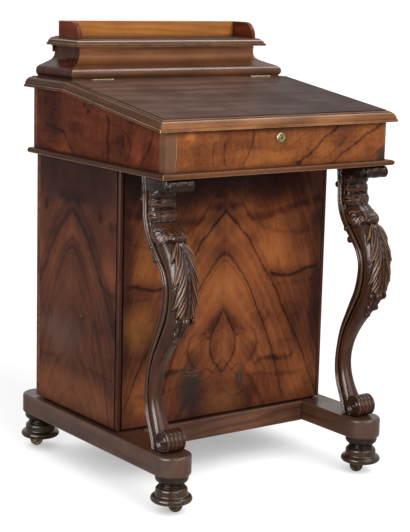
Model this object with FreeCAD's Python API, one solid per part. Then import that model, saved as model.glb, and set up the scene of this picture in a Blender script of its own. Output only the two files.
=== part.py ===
import FreeCAD, Part
import math
import os

# A davenport: a small sloping desk on a pedestal of side drawers, with carved
# scroll legs at the front. Millimetres, +Z up, the sitter's side faces -Y, and
# the origin is on the floor under the middle of the desk's overall length.

V = FreeCAD.Vector
X_AXIS = V(1, 0, 0)
Y_AXIS = V(0, 1, 0)
Z_AXIS = V(0, 0, 1)
ORIGIN = V(0, 0, 0)
os.makedirs("parts", exist_ok=True)

# Overall sizes
desk_width = 504.0
desk_depth = 451.0
feet_behind_middle = 2.6
back_inset = 17.0
pedestal_height = 489.0
box_back_height = 128.0
slope_angle = 8.0

# Castors
wheel_radius = 13.0
wheel_width = 11.0
wheel_hub_wall = 2.6
wheel_rim_width = 2.6
wheel_dish = 1.6
wheel_crown = 1.2
castor_trail = 8.0
cheek_thickness = 2.6
horn_plate_radius = 13.0
horn_plate_thickness = 4.0
stem_radius = 4.0
stem_length = 24.0
stem_end_clearance = 0.5
axle_radius = 2.0
socket_wall = 3.0
socket_flange_radius = 17.0
socket_flange_thickness = 2.0
running_clearance = 0.08
wheel_side_clearance = 0.5
wheel_top_clearance = 5.0
swing_clearance = 2.0
# Way each wheel trails at rest, in degrees from the desk's right hand
castor_angles = {"front_left": -15.0, "front_right": 165.0, "rear_left": 130.0, "rear_right": 60.0}

# Turned feet
foot_underside = 14.0
foot_height = 58.0
foot_collar_radius = 27.0
foot_collar_height = 5.0
foot_neck_radius = 22.0
foot_ring_radius = 25.5
foot_ring_bead = 2.2
foot_ring_drop = 17.4
foot_bell_hollow = 1.6
foot_flange_radius = 38.0
foot_flange_thickness = 12.0
foot_flange_height = 13.8
foot_rest_bulge = 1.2
foot_rest_radius = 28.0

# Sledge base
runner_width = 70.0
runner_height = 39.0
runner_inset = 27.5
runner_softening = 5.0
stretcher_thickness = 32.0
stretcher_projection = 11.0
stretcher_softening = 3.0

# Pedestal
pedestal_side_inset = 8.0
pedestal_front_setback = 153.0
plinth_gap = 3.0
front_board = 18.0
back_board = 12.0
bottom_board = 12.0
bead_radius = 5.0
quirk_width = 1.5

# Side drawers
drawer_count = 4
drawer_step = 10.0
drawer_rail = 12.0
stile_width = 14.5
drawer_front_thickness = 16.0
drawer_backroom = 30.5
drawer_wall = 9.0
drawer_bottom = 6.0
drawer_bottom_lift = 4.0
drawer_gap = 1.0
tray_headroom = 6.0
runner_strip_width = 20.0
guide_height = 14.0
knob_radius = 12.0
knob_projection = 22.0
knob_neck_radius = 6.5
knob_spacing = 140.0
spigot_radius = 4.0
spigot_length = 10.0
spigot_clearance = 0.1

# Writing box
box_front_board = 18.0
box_side_board = 12.0
box_bottom_board = 12.0
base_bead_height = 10.0
base_bead_lift = 1.0
base_bead_projection = 14.0

# Top board and sloping lid
board_thickness = 20.0
board_overhang = 2.0
edge_projection = 18.0
edge_quirk = 1.6
edge_nose = 4.5
edge_lip = 2.0
top_board_depth = 147.0
top_board_overhang = 4.0
lid_front_overhang = 14.0
lid_joint = 0.5

# Butt hinges
hinge_length = 48.0
hinge_spread = 374.0
hinge_leaf_width = 9.0
hinge_leaf_thickness = 1.5
hinge_barrel_radius = 2.8
hinge_pin_radius = 1.2
hinge_clearance = 0.05
barrel_clearance = 0.6
cover_leaf_height = 14.0
leaf_clearance = 0.1

# Lock
escutcheon_radius = 10.0
escutcheon_thickness = 1.6
keyhole_radius = 1.9
keyhole_slot = 5.0
escutcheon_drop = 21.0
lock_width = 50.0
lock_height = 36.0
lock_thickness = 12.0
lock_wall = 2.0
lock_drop = 1.0
bolt_width = 22.0
bolt_height = 20.0
bolt_clearance = 0.4
strike_length = 40.0
strike_width = 14.0
strike_clearance = 1.0
strike_thickness = 1.5
strike_pocket = 8.0

# Drawers and pigeonholes inside the writing box
nest_depth = 92.0
nest_thickness = 6.0
small_drawer_height = 44.0
small_drawer_wall = 6.0
small_drawer_front = 9.0
small_drawer_headroom = 5.0
small_drawer_backroom = 3.0
small_knob_radius = 6.0
small_knob_projection = 13.0
pigeonhole_count = 4

# Stationery box
ogee_neck_wall = 9.0
ogee_neck_height = 14.0
ogee_height = 60.0
ogee_front_setback = 50.0
ogee_side_inset = 45.5
cavetto_radius = 17.0
bulge_radius = 11.0
bulge_projection = 41.5
bulge_centre_height = 10.5
bulge_undercut = 50.0
ogee_fall = 22.0
divider_thickness = 4.0
divider_count = 3
divider_drop = 6.0

# Stationery lid and gallery
cover_thickness = 16.0
gallery_height = 30.0
gallery_thickness = 8.0
gallery_length = 74.0
gallery_back_inset = 20.0
gallery_side_inset = 15.0
gallery_curve = 28.0
gallery_housing = 3.0
gallery_fit = 0.1

# Carved scroll legs: sizes across the leg and of its scrolls
leg_head_width = 54.0
leg_sweep = 100.0
leg_band_width = 14.0
leg_hollow_width = 7.0
leg_hollow_depth = 3.0
cuff_swell = 3.5
cuff_lap = 0.2
leaf_lift = 2.8
leaf_root = 6.0
volute_radius = 21.0
volute_width = 42.0
volute_reeds = 4
volute_reed_depth = 1.5
volute_eye_radius = 7.0
volute_eye_projection = 1.6
volute_setback = 5.0
toe_pad_height = 8.0
ear_radius = 11.0
ear_reach = 15.0
head_depth = 90.0
leaf_roll_radius = 9.0
leaf_roll_width = 34.0
leaf_roll_reach = 4.0
pendant_roll_radius = 8.0
pendant_roll_width = 26.0
pendant_roll_reach = 26.0
scroll_curl_radius = 6.0
scroll_curl_width = 52.0
upper_curl_setback = 72.0
lower_curl_setback = 29.0
# Places of the rolls and curls, as shares of the height of the leg that carries them
leaf_roll_share = 0.790
pendant_roll_share = 0.491
upper_curl_share = 0.914
lower_curl_share = 0.708
# Widest share of a thin section that its band and its hollow may take, and how full the
# round of a section is, from 0.5 for a wedge to 1 for a square
leg_band_share = 0.32
leg_hollow_share = 0.17
body_fullness = 0.72

# Heights and faces worked out from the sizes above
runner_bottom = foot_underside + foot_height
runner_top = runner_bottom + runner_height
box_underside = runner_top + pedestal_height
floor_of_well = box_underside + box_bottom_board
top_underside = box_underside + box_back_height
desk_top = top_underside + board_thickness
cover_underside = desk_top + ogee_height
cover_top = cover_underside + cover_thickness

half_width = desk_width / 2
foot_spacing = desk_depth + back_inset
front_foot_y = feet_behind_middle - foot_spacing / 2
back_foot_y = feet_behind_middle + foot_spacing / 2
back_y = back_foot_y - back_inset
front_y = front_foot_y
runner_x = half_width - runner_inset
runner_half = runner_width / 2
pedestal_half = half_width - pedestal_side_inset
pedestal_front_y = front_y + pedestal_front_setback
hinge_y = back_y + top_board_overhang - top_board_depth
slope = math.radians(slope_angle)


def lid_underside(y):
    """Height of the closed lid's lower face above the floor, at depth y."""
    return desk_top - (hinge_y - y) * math.tan(slope) - board_thickness / math.cos(slope)


def save(node, *solids):
    shape = solids[0] if len(solids) == 1 else Part.makeCompound(list(solids))
    shape.exportStep("parts/" + node + ".step")
    print(node, len(solids), round(sum(s.Volume for s in solids)))


def block(x0, x1, y0, y1, z0, z1):
    return Part.makeBox(x1 - x0, y1 - y0, z1 - z0, V(x0, y0, z0))


def polygon_face(points):
    return Part.Face(Part.makePolygon(points + [points[0]]))


def mirrored(shape):
    return shape.mirror(ORIGIN, X_AXIS)


def turned(edges, centre, axis):
    """Revolve a closed outline, drawn as radius along X and height along Z, and
    stand it at a centre with its axis pointing along the given direction."""
    solid = Part.Face(Part.Wire(edges)).revolve(ORIGIN, Z_AXIS, 360)
    solid.rotate(ORIGIN, V(0, 0, 1).cross(axis) if axis != Z_AXIS else X_AXIS,
                 math.degrees(Z_AXIS.getAngle(axis)))
    solid.translate(centre)
    return solid


def line(x0, z0, x1, z1):
    return Part.LineSegment(V(x0, 0, z0), V(x1, 0, z1)).toShape()


def arc(x0, z0, xm, zm, x1, z1):
    return Part.Arc(V(x0, 0, z0), V(xm, 0, zm), V(x1, 0, z1)).toShape()


def mitred_strip(profile, length, start_mitred, end_mitred):
    """Run a moulding along +Y from 0 to length. The profile is a face in the XZ
    plane with X pointing out, and a mitred end follows the outside of a corner."""
    reach = profile.BoundBox.XLength + 1
    strip = profile.extrude(V(0, length + 2 * reach, 0))
    strip.translate(V(0, -reach, 0))
    size = length + 6 * reach
    low = Part.makeBox(2 * size, size, 2 * size, V(-size, -size, -size))
    high = Part.makeBox(2 * size, size, 2 * size, V(-size, 0, -size))
    if start_mitred:
        low.rotate(ORIGIN, Z_AXIS, -45)
    if end_mitred:
        high.rotate(ORIGIN, Z_AXIS, 45)
    high.translate(V(0, length, 0))
    return strip.cut(low).cut(high)


def front_strip(profile, half, y, z):
    """A strip across the front, from -half to half, mitred at both corners."""
    strip = mitred_strip(profile, 2 * half, True, True)
    strip.rotate(ORIGIN, Z_AXIS, -90)
    strip.translate(V(-half, y, z))
    return strip


def left_strip(profile, x, y_front, y_back, z):
    """A strip along the left side, mitred at the front and square at the back."""
    strip = mitred_strip(profile, y_back - y_front, False, True)
    strip.rotate(ORIGIN, Z_AXIS, 180)
    strip.translate(V(x, y_back, z))
    return strip


# Castors: a horn on a stem that turns in a socket, and a wheel on the horn's axle
recess_top = wheel_radius * 2 + wheel_top_clearance + horn_plate_thickness + socket_flange_thickness
plate_top = recess_top - socket_flange_thickness
recess_radius = castor_trail + wheel_radius + swing_clearance
stem_top = plate_top + stem_length
foot_places = {"front_left": (-runner_x, front_foot_y), "front_right": (runner_x, front_foot_y),
               "rear_left": (-runner_x, back_foot_y), "rear_right": (runner_x, back_foot_y)}


def castor_horn():
    """The horn with its stem on the Z axis and its wheel trailing along +X."""
    plate_bottom = plate_top - horn_plate_thickness
    horn = Part.makeCylinder(horn_plate_radius, horn_plate_thickness, V(0, 0, plate_bottom))
    horn = horn.fuse(Part.makeCylinder(stem_radius, stem_length, V(0, 0, plate_top)))
    inner = wheel_width / 2 + wheel_side_clearance
    axle_boss = axle_radius * 2.2
    cheek_root = horn_plate_radius * 0.72
    for side in (-1, 1):
        y = inner if side > 0 else -inner - cheek_thickness
        boss = Part.makeCylinder(axle_boss, cheek_thickness, V(castor_trail, y, wheel_radius), Y_AXIS)
        web = polygon_face([V(-cheek_root, y, plate_bottom), V(cheek_root, y, plate_bottom),
                            V(castor_trail + axle_boss, y, wheel_radius),
                            V(castor_trail - axle_boss, y, wheel_radius)])
        horn = horn.fuse(boss).fuse(web.extrude(V(0, cheek_thickness, 0)))
    axle_length = 2 * (inner + cheek_thickness)
    axle_start = V(castor_trail, -axle_length / 2, wheel_radius)
    axle = Part.makeCylinder(axle_radius, axle_length, axle_start, Y_AXIS)
    return horn.fuse(axle).removeSplitter()


def castor_wheel():
    """A brass wheel with a crowned tread and a turned hollow in each face."""
    half = wheel_width / 2
    bore = axle_radius + running_clearance
    hub = bore + wheel_hub_wall
    tread = wheel_radius - wheel_crown
    rim = tread - wheel_rim_width
    dish = half - wheel_dish
    edges = [line(bore, -half, hub, -half), arc(hub, -half, (hub + rim) / 2, -dish, rim, -half),
             line(rim, -half, tread, -half), arc(tread, -half, wheel_radius, 0, tread, half),
             line(tread, half, rim, half), arc(rim, half, (hub + rim) / 2, dish, hub, half),
             line(hub, half, bore, half), line(bore, half, bore, -half)]
    return turned(edges, V(castor_trail, 0, wheel_radius), Y_AXIS)


def castor_socket():
    flange = Part.makeCylinder(socket_flange_radius, socket_flange_thickness, V(0, 0, plate_top))
    tube_radius = stem_radius + socket_wall
    tube = Part.makeCylinder(tube_radius, stem_length + socket_wall, V(0, 0, plate_top))
    bore_depth = stem_length + stem_end_clearance
    bore = Part.makeCylinder(stem_radius + running_clearance, bore_depth, V(0, 0, plate_top))
    return flange.fuse(tube).cut(bore).removeSplitter()


def bun_foot():
    """A turned foot: collar, hollow neck, ring, bell and a wide flange, hollowed
    from below for the castor."""
    top = runner_bottom
    collar_z = top - foot_collar_height
    flange_z = foot_underside + foot_flange_height
    flange_half = foot_flange_thickness / 2
    flange_low = flange_z - flange_half
    shoulder = foot_flange_radius - flange_half
    ring_z = top - foot_ring_drop
    ring_top = ring_z + foot_ring_bead
    ring_low = ring_z - foot_ring_bead
    neck_z = (collar_z + ring_top) / 2
    bell_z = flange_z + flange_half
    bell_mid_x = (foot_ring_radius + shoulder) / 2 - foot_bell_hollow
    rest_mid_x = (shoulder + foot_rest_radius) / 2 + foot_rest_bulge
    rest_mid_z = (flange_low + foot_underside - foot_rest_bulge) / 2
    ring_edge = foot_ring_radius + foot_ring_bead
    edges = [line(0, top, foot_collar_radius, top),
             line(foot_collar_radius, top, foot_collar_radius, collar_z),
             arc(foot_collar_radius, collar_z, foot_neck_radius, neck_z, foot_ring_radius, ring_top),
             arc(foot_ring_radius, ring_top, ring_edge, ring_z, foot_ring_radius, ring_low),
             arc(foot_ring_radius, ring_low, bell_mid_x, (ring_low + bell_z) / 2, shoulder, bell_z),
             arc(shoulder, bell_z, foot_flange_radius, flange_z, shoulder, flange_low),
             arc(shoulder, flange_low, rest_mid_x, rest_mid_z, foot_rest_radius, foot_underside),
             line(foot_rest_radius, foot_underside, 0, foot_underside), line(0, foot_underside, 0, top)]
    foot = turned(edges, ORIGIN, Z_AXIS)
    recess = Part.makeCylinder(recess_radius, recess_top - foot_underside + 1, V(0, 0, foot_underside - 1))
    socket_radius = stem_radius + socket_wall + running_clearance
    hole = Part.makeCylinder(socket_radius, stem_top + socket_wall - plate_top, V(0, 0, plate_top + 0.5))
    return foot.cut(recess).cut(hole)


feet = []
sockets = []
for place, (foot_x, foot_depth) in foot_places.items():
    spot = V(foot_x, foot_depth, 0)
    feet.append(bun_foot().translated(spot))
    sockets.append(castor_socket().translated(spot))
    for piece, shape in (("horn", castor_horn()), ("wheel", castor_wheel())):
        shape.rotate(ORIGIN, Z_AXIS, castor_angles[place])
        save("castor_" + piece + "_" + place, shape.translated(spot))
save("bun_feet", *feet)
save("castor_sockets", *sockets)


# Sledge base: two round-ended runners and the stretchers between them
def soften_long_edges(shape, radius, axis):
    edges = []
    for edge in shape.Edges:
        straight = edge.Curve.TypeId == "Part::GeomLine"
        if straight and abs(edge.tangentAt(edge.FirstParameter).dot(axis)) > 0.99:
            edges.append(edge)
    return shape.makeFillet(radius, edges)


def runner():
    x0 = runner_x - runner_half
    x1 = runner_x + runner_half
    y0 = front_foot_y
    y1 = back_foot_y
    z = runner_bottom
    outline = Part.Wire([
        Part.LineSegment(V(x0, y1, z), V(x0, y0, z)).toShape(),
        Part.Arc(V(x0, y0, z), V(runner_x, y0 - runner_half, z), V(x1, y0, z)).toShape(),
        Part.LineSegment(V(x1, y0, z), V(x1, y1, z)).toShape(),
        Part.Arc(V(x1, y1, z), V(runner_x, y1 + runner_half, z), V(x0, y1, z)).toShape()])
    bar = Part.Face(outline).extrude(V(0, 0, runner_height))
    rims = [e for e in bar.Edges if abs(e.BoundBox.ZLength) < 0.01]
    return bar.makeFillet(runner_softening, rims)


runner_right = runner()
save("runner_left", mirrored(runner_right))
save("runner_right", runner_right)

stretcher_half = runner_x - runner_half
front_rail_y = pedestal_front_y - stretcher_projection
stretcher_pair = []
for y0 in (front_rail_y, back_y - stretcher_thickness):
    rail = block(-stretcher_half, stretcher_half, y0, y0 + stretcher_thickness, runner_bottom, runner_top)
    stretcher_pair.append(soften_long_edges(rail, stretcher_softening, X_AXIS))
save("stretchers", *stretcher_pair)

# Pedestal: boards on a bottom, with a bead standing in a quirk at each front corner
panel_bottom = runner_top + plinth_gap
corner = 2 * bead_radius + quirk_width
panel_half = pedestal_half - corner
inner_front = pedestal_front_y + front_board
inner_back = back_y - back_board
inner_left = -panel_half
save("pedestal_front", block(-panel_half, panel_half, pedestal_front_y, inner_front,
                             panel_bottom, box_underside))
save("pedestal_left", block(-pedestal_half, inner_left, pedestal_front_y + corner, inner_back,
                            panel_bottom, box_underside))
save("pedestal_back", block(-pedestal_half, pedestal_half, inner_back, back_y, panel_bottom, box_underside))
drawer_floor = runner_top + bottom_board
save("pedestal_bottom", block(inner_left, pedestal_half, inner_front, inner_back, runner_top, drawer_floor))


def corner_bead():
    """A round bead on a square tongue that both boards of the corner butt against."""
    height = box_underside - panel_bottom
    tongue_start = bead_radius * 0.8
    bead = Part.makeCylinder(bead_radius, height, V(bead_radius, bead_radius, 0))
    bead = bead.fuse(block(tongue_start, corner, tongue_start, corner, 0, height)).removeSplitter()
    return bead.translated(V(-pedestal_half, pedestal_front_y, panel_bottom))


bead_left = corner_bead()
save("corner_beads", bead_left, mirrored(bead_left))

# Frame of the drawer side: two stiles and the rails between drawers, then the
# runners that carry each drawer and the guides that keep it straight
stile_back = pedestal_half - corner
front_stile_start = pedestal_front_y + corner
front_stile_end = front_stile_start + stile_width
back_stile_start = inner_back - stile_width
frame = [block(stile_back, pedestal_half, front_stile_start, front_stile_end, drawer_floor, box_underside),
         block(stile_back, pedestal_half, back_stile_start, inner_back, drawer_floor, box_underside)]
opening_height = box_underside - drawer_floor - (drawer_count - 1) * drawer_rail
drawer_floors = []
drawer_heights = []
level = drawer_floor
for number in range(drawer_count):
    height = opening_height / drawer_count + drawer_step * ((drawer_count - 1) / 2 - number)
    drawer_floors.append(level)
    drawer_heights.append(height)
    level += height + drawer_rail
strips = []
for floor in drawer_floors:
    for y0, y1 in ((inner_front, front_stile_end), (back_stile_start, inner_back)):
        strips.append(block(inner_left, stile_back, y0, y1, floor, floor + guide_height))
for floor in drawer_floors[1:]:
    rail_z = floor - drawer_rail
    frame.append(block(stile_back, pedestal_half, front_stile_end, back_stile_start, rail_z, floor))
    for y0 in (inner_front, inner_back - runner_strip_width):
        strips.append(block(inner_left, stile_back, y0, y0 + runner_strip_width, rail_z, floor))
save("drawer_frame", *frame)
save("drawer_runners", *strips)


def knob(radius, neck, projection):
    """A turned mushroom knob on the Z axis, with its spigot below the foot."""
    collar = neck * 1.35
    waist_z = projection * 0.22
    brim_z = projection * 0.5
    cap_z = projection * 0.8
    flat = radius * 0.3
    edges = [line(0, -spigot_length, spigot_radius, -spigot_length),
             line(spigot_radius, -spigot_length, spigot_radius, 0), line(spigot_radius, 0, collar, 0),
             arc(collar, 0, neck, waist_z, radius * 0.86, brim_z),
             arc(radius * 0.86, brim_z, radius, (brim_z + cap_z) / 2, radius * 0.9, cap_z),
             arc(radius * 0.9, cap_z, radius * 0.66, projection * 0.94, flat, projection),
             line(flat, projection, 0, projection), line(0, projection, 0, -spigot_length)]
    return edges


def drawer_tray(width, height, length, wall, bottom, lift):
    """Two sides, a back and a bottom as separate boards. The tray runs along -X
    from its front at 0, and is centred on Y with its sides standing on 0."""
    half = width / 2
    sides = [block(-length, 0, -half, -half + wall, 0, height),
             block(-length, 0, half - wall, half, 0, height)]
    back = block(-length, -length + wall, -half + wall, half - wall, lift + bottom, height)
    floor = block(-length, 0, -half + wall, half - wall, lift, lift + bottom)
    return sides + [back, floor]


drawer_centre_y = (front_stile_end + back_stile_start) / 2
front_width = back_stile_start - front_stile_end - 2 * drawer_gap
tray_front_x = pedestal_half - drawer_front_thickness
drawer_length = tray_front_x - inner_left - drawer_backroom
for number, (floor, height) in enumerate(zip(drawer_floors, drawer_heights)):
    name = "drawer_" + str(drawer_count - number)
    board_height = height - drawer_gap
    board = block(tray_front_x, pedestal_half, drawer_centre_y - front_width / 2,
                  drawer_centre_y + front_width / 2, floor, floor + board_height)
    knobs = []
    for side in (-1, 1):
        spot = V(pedestal_half, drawer_centre_y + side * knob_spacing / 2, floor + board_height / 2)
        knobs.append(turned(knob(knob_radius, knob_neck_radius, knob_projection), spot, X_AXIS))
        hole_start = spot - V(spigot_length + spigot_clearance, 0, 0)
        hole_radius = spigot_radius + spigot_clearance
        board = board.cut(Part.makeCylinder(hole_radius, spigot_length + 1, hole_start, X_AXIS))
    tray = drawer_tray(front_width, board_height - tray_headroom, drawer_length, drawer_wall, drawer_bottom,
                       drawer_bottom_lift)
    save(name + "_front", board)
    save(name + "_tray", *[part.translated(V(tray_front_x, drawer_centre_y, floor)) for part in tray])
    save(name + "_knobs", *knobs)

# Writing box: front, sides and back on a bottom board, under the lid's slope
box_inner_front = front_y + box_front_board
box_inner_half = half_width - box_side_board
front_outline = [V(-half_width, front_y, box_underside), V(-half_width, box_inner_front, box_underside),
                 V(-half_width, box_inner_front, lid_underside(box_inner_front)),
                 V(-half_width, front_y, lid_underside(front_y))]
box_front = polygon_face(front_outline).extrude(V(desk_width, 0, 0))
slope_foot = lid_underside(hinge_y)
side_outline = [V(-half_width, box_inner_front, box_underside), V(-half_width, inner_back, box_underside),
                V(-half_width, inner_back, top_underside), V(-half_width, hinge_y, top_underside),
                V(-half_width, hinge_y, slope_foot),
                V(-half_width, box_inner_front, lid_underside(box_inner_front))]
box_left = polygon_face(side_outline).extrude(V(box_side_board, 0, 0))
save("box_left_side", box_left)
save("box_right_side", mirrored(box_left))
save("box_back", block(-half_width, half_width, inner_back, back_y, box_underside, top_underside))
save("box_bottom", block(-box_inner_half, box_inner_half, box_inner_front, inner_back,
                         box_underside, floor_of_well))


def astragal():
    """A half-round nose on a flat: the thin moulding round the foot of the box."""
    radius = base_bead_height / 2
    flat = base_bead_projection - radius
    edges = [line(0, 0, flat, 0), arc(flat, 0, base_bead_projection, radius, flat, base_bead_height),
             line(flat, base_bead_height, 0, base_bead_height), line(0, base_bead_height, 0, 0)]
    return Part.Face(Part.Wire(edges))


bead_z = box_underside + base_bead_lift
bead_left_side = left_strip(astragal(), -half_width, front_y, back_y, bead_z)
save("box_base_moulding", front_strip(astragal(), half_width, front_y, bead_z), bead_left_side,
     mirrored(bead_left_side))


def thumb(thickness):
    """Edge moulding of the boards: a quirk, a quarter-round falling outwards and a
    square nose. X points out from the board, and the top of the board is at 0."""
    nose_top = -thickness + edge_nose
    nose_in = edge_projection - edge_lip
    bend = math.sqrt(0.5)
    mid_x = nose_in * bend
    mid_z = -edge_quirk + (nose_top + edge_quirk) * (1 - bend)
    edges = [line(0, -thickness, 0, -edge_quirk),
             arc(0, -edge_quirk, mid_x, mid_z, nose_in, nose_top),
             line(nose_in, nose_top, edge_projection, nose_top),
             line(edge_projection, nose_top, edge_projection, -thickness),
             line(edge_projection, -thickness, 0, -thickness)]
    return Part.Face(Part.Wire(edges))


board_half = half_width + board_overhang


def hinge_places():
    return (-hinge_spread / 2, hinge_spread / 2)


def barrel_channel(x, y, z):
    """Room for a hinge's barrel along the joint of two boards."""
    length = hinge_length + 2 * barrel_clearance
    return Part.makeCylinder(hinge_barrel_radius + barrel_clearance, length, V(x - length / 2, y, z), X_AXIS)


# Flat top board behind the slope, moulded at both ends
top_board = block(-board_half, board_half, hinge_y, back_y + top_board_overhang, top_underside, desk_top)
end = thumb(board_thickness).extrude(V(0, top_board_depth, 0))
end.translate(V(board_half, hinge_y, desk_top))
top_board = top_board.fuse(end).fuse(mirrored(end)).removeSplitter()
leaf_pocket = hinge_leaf_width + leaf_clearance
for x in hinge_places():
    half = hinge_length / 2 + leaf_clearance
    top_board = top_board.cut(block(x - half, x + half, hinge_y - 1, hinge_y + leaf_pocket,
                                    desk_top - hinge_leaf_thickness, desk_top + 1))
    top_board = top_board.cut(barrel_channel(x, hinge_y, desk_top))
save("top_board", top_board)

# Sloping lid, drawn flat with its hinge line on the X axis and then tipped down
lid_length = (hinge_y - front_y + lid_front_overhang) / math.cos(slope) - edge_projection


def tipped(shape):
    """Tip a piece of the lid to its slope and plumb its back edge to the joint."""
    shape.rotate(ORIGIN, X_AXIS, slope_angle)
    shape.translate(V(0, hinge_y, desk_top))
    behind = block(-desk_width, desk_width, hinge_y - lid_joint, back_y, box_underside, cover_top)
    return shape.cut(behind)


lid_panel = block(-board_half, board_half, -lid_length, 0, -board_thickness, 0)
for x in hinge_places():
    half = hinge_length / 2 + leaf_clearance
    lid_panel = lid_panel.cut(block(x - half, x + half, -leaf_pocket, 1, -hinge_leaf_thickness, 1))
    lid_panel = lid_panel.cut(barrel_channel(x, 0, 0))
bolt_y = box_inner_front + lock_thickness / 2
bolt_reach = (hinge_y - bolt_y) / math.cos(slope) + board_thickness * math.tan(slope)
strike_top = -board_thickness + strike_thickness
seat_half_length = strike_length / 2 + leaf_clearance
seat_half_width = strike_width / 2 + leaf_clearance
strike_seat = block(-seat_half_length, seat_half_length, -bolt_reach - seat_half_width,
                    -bolt_reach + seat_half_width, -board_thickness - 1, strike_top)
bolt_half_depth = lock_thickness / 2 - lock_wall
slot_half_width = bolt_width / 2 + strike_clearance
slot_half_depth = bolt_half_depth + strike_clearance
bolt_pocket = block(-slot_half_width, slot_half_width, -bolt_reach - slot_half_depth,
                    -bolt_reach + slot_half_depth, -board_thickness - 1, -board_thickness + strike_pocket)
lid_panel = lid_panel.cut(strike_seat).cut(bolt_pocket)
save("slope_lid_panel", tipped(lid_panel))
lid_left = left_strip(thumb(board_thickness), -board_half, -lid_length, 0, 0)
lid_front = front_strip(thumb(board_thickness), board_half, -lid_length, 0)
save("slope_lid_moulding", tipped(lid_front), tipped(lid_left.copy()), tipped(mirrored(lid_left)))


# Butt hinges: leaves let in flush, a barrel of three knuckles and a pin
def hinge_leaf(moving):
    """A leaf with its knuckles on the X axis. The moving leaf lies towards -Y and
    has the middle knuckle, and the fixed one lies towards +Y with the outer two."""
    third = hinge_length / 3
    half = hinge_length / 2
    spans = [(-third / 2, third / 2)] if moving else [(-half, -third / 2), (third / 2, half)]
    y0, y1 = (-hinge_leaf_width, -lid_joint) if moving else (lid_joint, hinge_leaf_width)
    leaf = block(-half, half, y0, y1, -hinge_leaf_thickness, 0)
    room = hinge_barrel_radius + hinge_clearance
    leaf = leaf.cut(Part.makeCylinder(room, hinge_length, V(-half, 0, 0), X_AXIS))
    for start, stop in spans:
        x0 = start + hinge_clearance
        length = stop - start - 2 * hinge_clearance
        leaf = leaf.fuse(Part.makeCylinder(hinge_barrel_radius, length, V(x0, 0, 0), X_AXIS))
        inward = (-1 if moving else 1) * (hinge_barrel_radius + hinge_leaf_thickness)
        tie = block(x0, x0 + length, min(0, inward), max(0, inward), -hinge_leaf_thickness, 0)
        leaf = leaf.fuse(tie)
    bore = hinge_pin_radius + hinge_clearance
    return leaf.cut(Part.makeCylinder(bore, hinge_length, V(-half, 0, 0), X_AXIS)).removeSplitter()


def hinge_pin():
    return Part.makeCylinder(hinge_pin_radius, hinge_length, V(-hinge_length / 2, 0, 0), X_AXIS)


def at_slope_hinge(shape, x, tilt):
    shape.rotate(ORIGIN, X_AXIS, tilt)
    return shape.translated(V(x, hinge_y, desk_top))


# The stationery lid's hinges stand upright behind it, barrel outwards
cover_hinge_y = back_y + hinge_barrel_radius


save("slope_hinge_moving_leaves", *[at_slope_hinge(hinge_leaf(True), x, slope_angle) for x in hinge_places()])
fixed_leaves = [at_slope_hinge(hinge_leaf(False), x, 0) for x in hinge_places()]
pins = [at_slope_hinge(hinge_pin(), x, 0) for x in hinge_places()]


def upright_leaf(moving):
    """A leaf screwed flat on the back: its plate lies against y 0 of the back face,
    and its barrel stands behind the plate."""
    half = hinge_length / 2
    third = hinge_length / 3
    spans = [(-third / 2, third / 2)] if moving else [(-half, -third / 2), (third / 2, half)]
    way = 1 if moving else -1
    z_near = way * lid_joint
    z_far = way * cover_leaf_height
    plate = block(-half, half, -hinge_barrel_radius, -hinge_barrel_radius + hinge_leaf_thickness,
                  min(z_near, z_far), max(z_near, z_far))
    room = hinge_barrel_radius + hinge_clearance
    plate = plate.cut(Part.makeCylinder(room, hinge_length, V(-half, 0, 0), X_AXIS))
    for start, stop in spans:
        x0 = start + hinge_clearance
        length = stop - start - 2 * hinge_clearance
        plate = plate.fuse(Part.makeCylinder(hinge_barrel_radius, length, V(x0, 0, 0), X_AXIS))
        tie_end = way * (hinge_barrel_radius + hinge_leaf_thickness)
        tie = block(x0, x0 + length, -hinge_barrel_radius, -hinge_barrel_radius + hinge_leaf_thickness,
                    min(0, tie_end), max(0, tie_end))
        plate = plate.fuse(tie)
    bore = hinge_pin_radius + hinge_clearance
    return plate.cut(Part.makeCylinder(bore, hinge_length, V(-half, 0, 0), X_AXIS)).removeSplitter()


cover_spot = [V(x, cover_hinge_y, cover_underside) for x in hinge_places()]
save("cover_hinge_moving_leaves", *[upright_leaf(True).translated(spot) for spot in cover_spot])
save("hinge_fixed_leaves", *fixed_leaves, *[upright_leaf(False).translated(spot) for spot in cover_spot])
save("hinge_pins", *pins, *[hinge_pin().translated(spot) for spot in cover_spot])

# Lock behind the box front, its bolt, the strike in the lid and the escutcheon
lock_top = lid_underside(box_inner_front) - lock_drop
lock_back = box_inner_front + lock_thickness
lock = block(-lock_width / 2, lock_width / 2, box_inner_front, lock_back, lock_top - lock_height, lock_top)
slot_bottom = lock_top - bolt_height - bolt_clearance
lock = lock.cut(block(-bolt_width / 2 - bolt_clearance, bolt_width / 2 + bolt_clearance,
                      bolt_y - bolt_half_depth - bolt_clearance, bolt_y + bolt_half_depth + bolt_clearance,
                      slot_bottom, lock_top + 1))
save("lock_case", lock)
save("lock_bolt", block(-bolt_width / 2, bolt_width / 2, bolt_y - bolt_half_depth, bolt_y + bolt_half_depth,
                        slot_bottom, lock_top - bolt_clearance))
strike = block(-strike_length / 2, strike_length / 2, -bolt_reach - strike_width / 2,
               -bolt_reach + strike_width / 2, -board_thickness, strike_top)
strike_slot = block(-slot_half_width, slot_half_width, -bolt_reach - slot_half_depth,
                    -bolt_reach + slot_half_depth, -board_thickness - 1, 0)
save("lock_strike", tipped(strike.cut(strike_slot)))

keyhole_z = lid_underside(front_y) - escutcheon_drop


def keyhole(depth, y):
    """The keyhole's round head and its slot, cut along +Y from y."""
    head = Part.makeCylinder(keyhole_radius, depth, V(0, y, keyhole_z), Y_AXIS)
    slot_half = keyhole_radius * 0.55
    slot = block(-slot_half, slot_half, y, y + depth, keyhole_z - keyhole_slot, keyhole_z)
    return head.fuse(slot)


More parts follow.
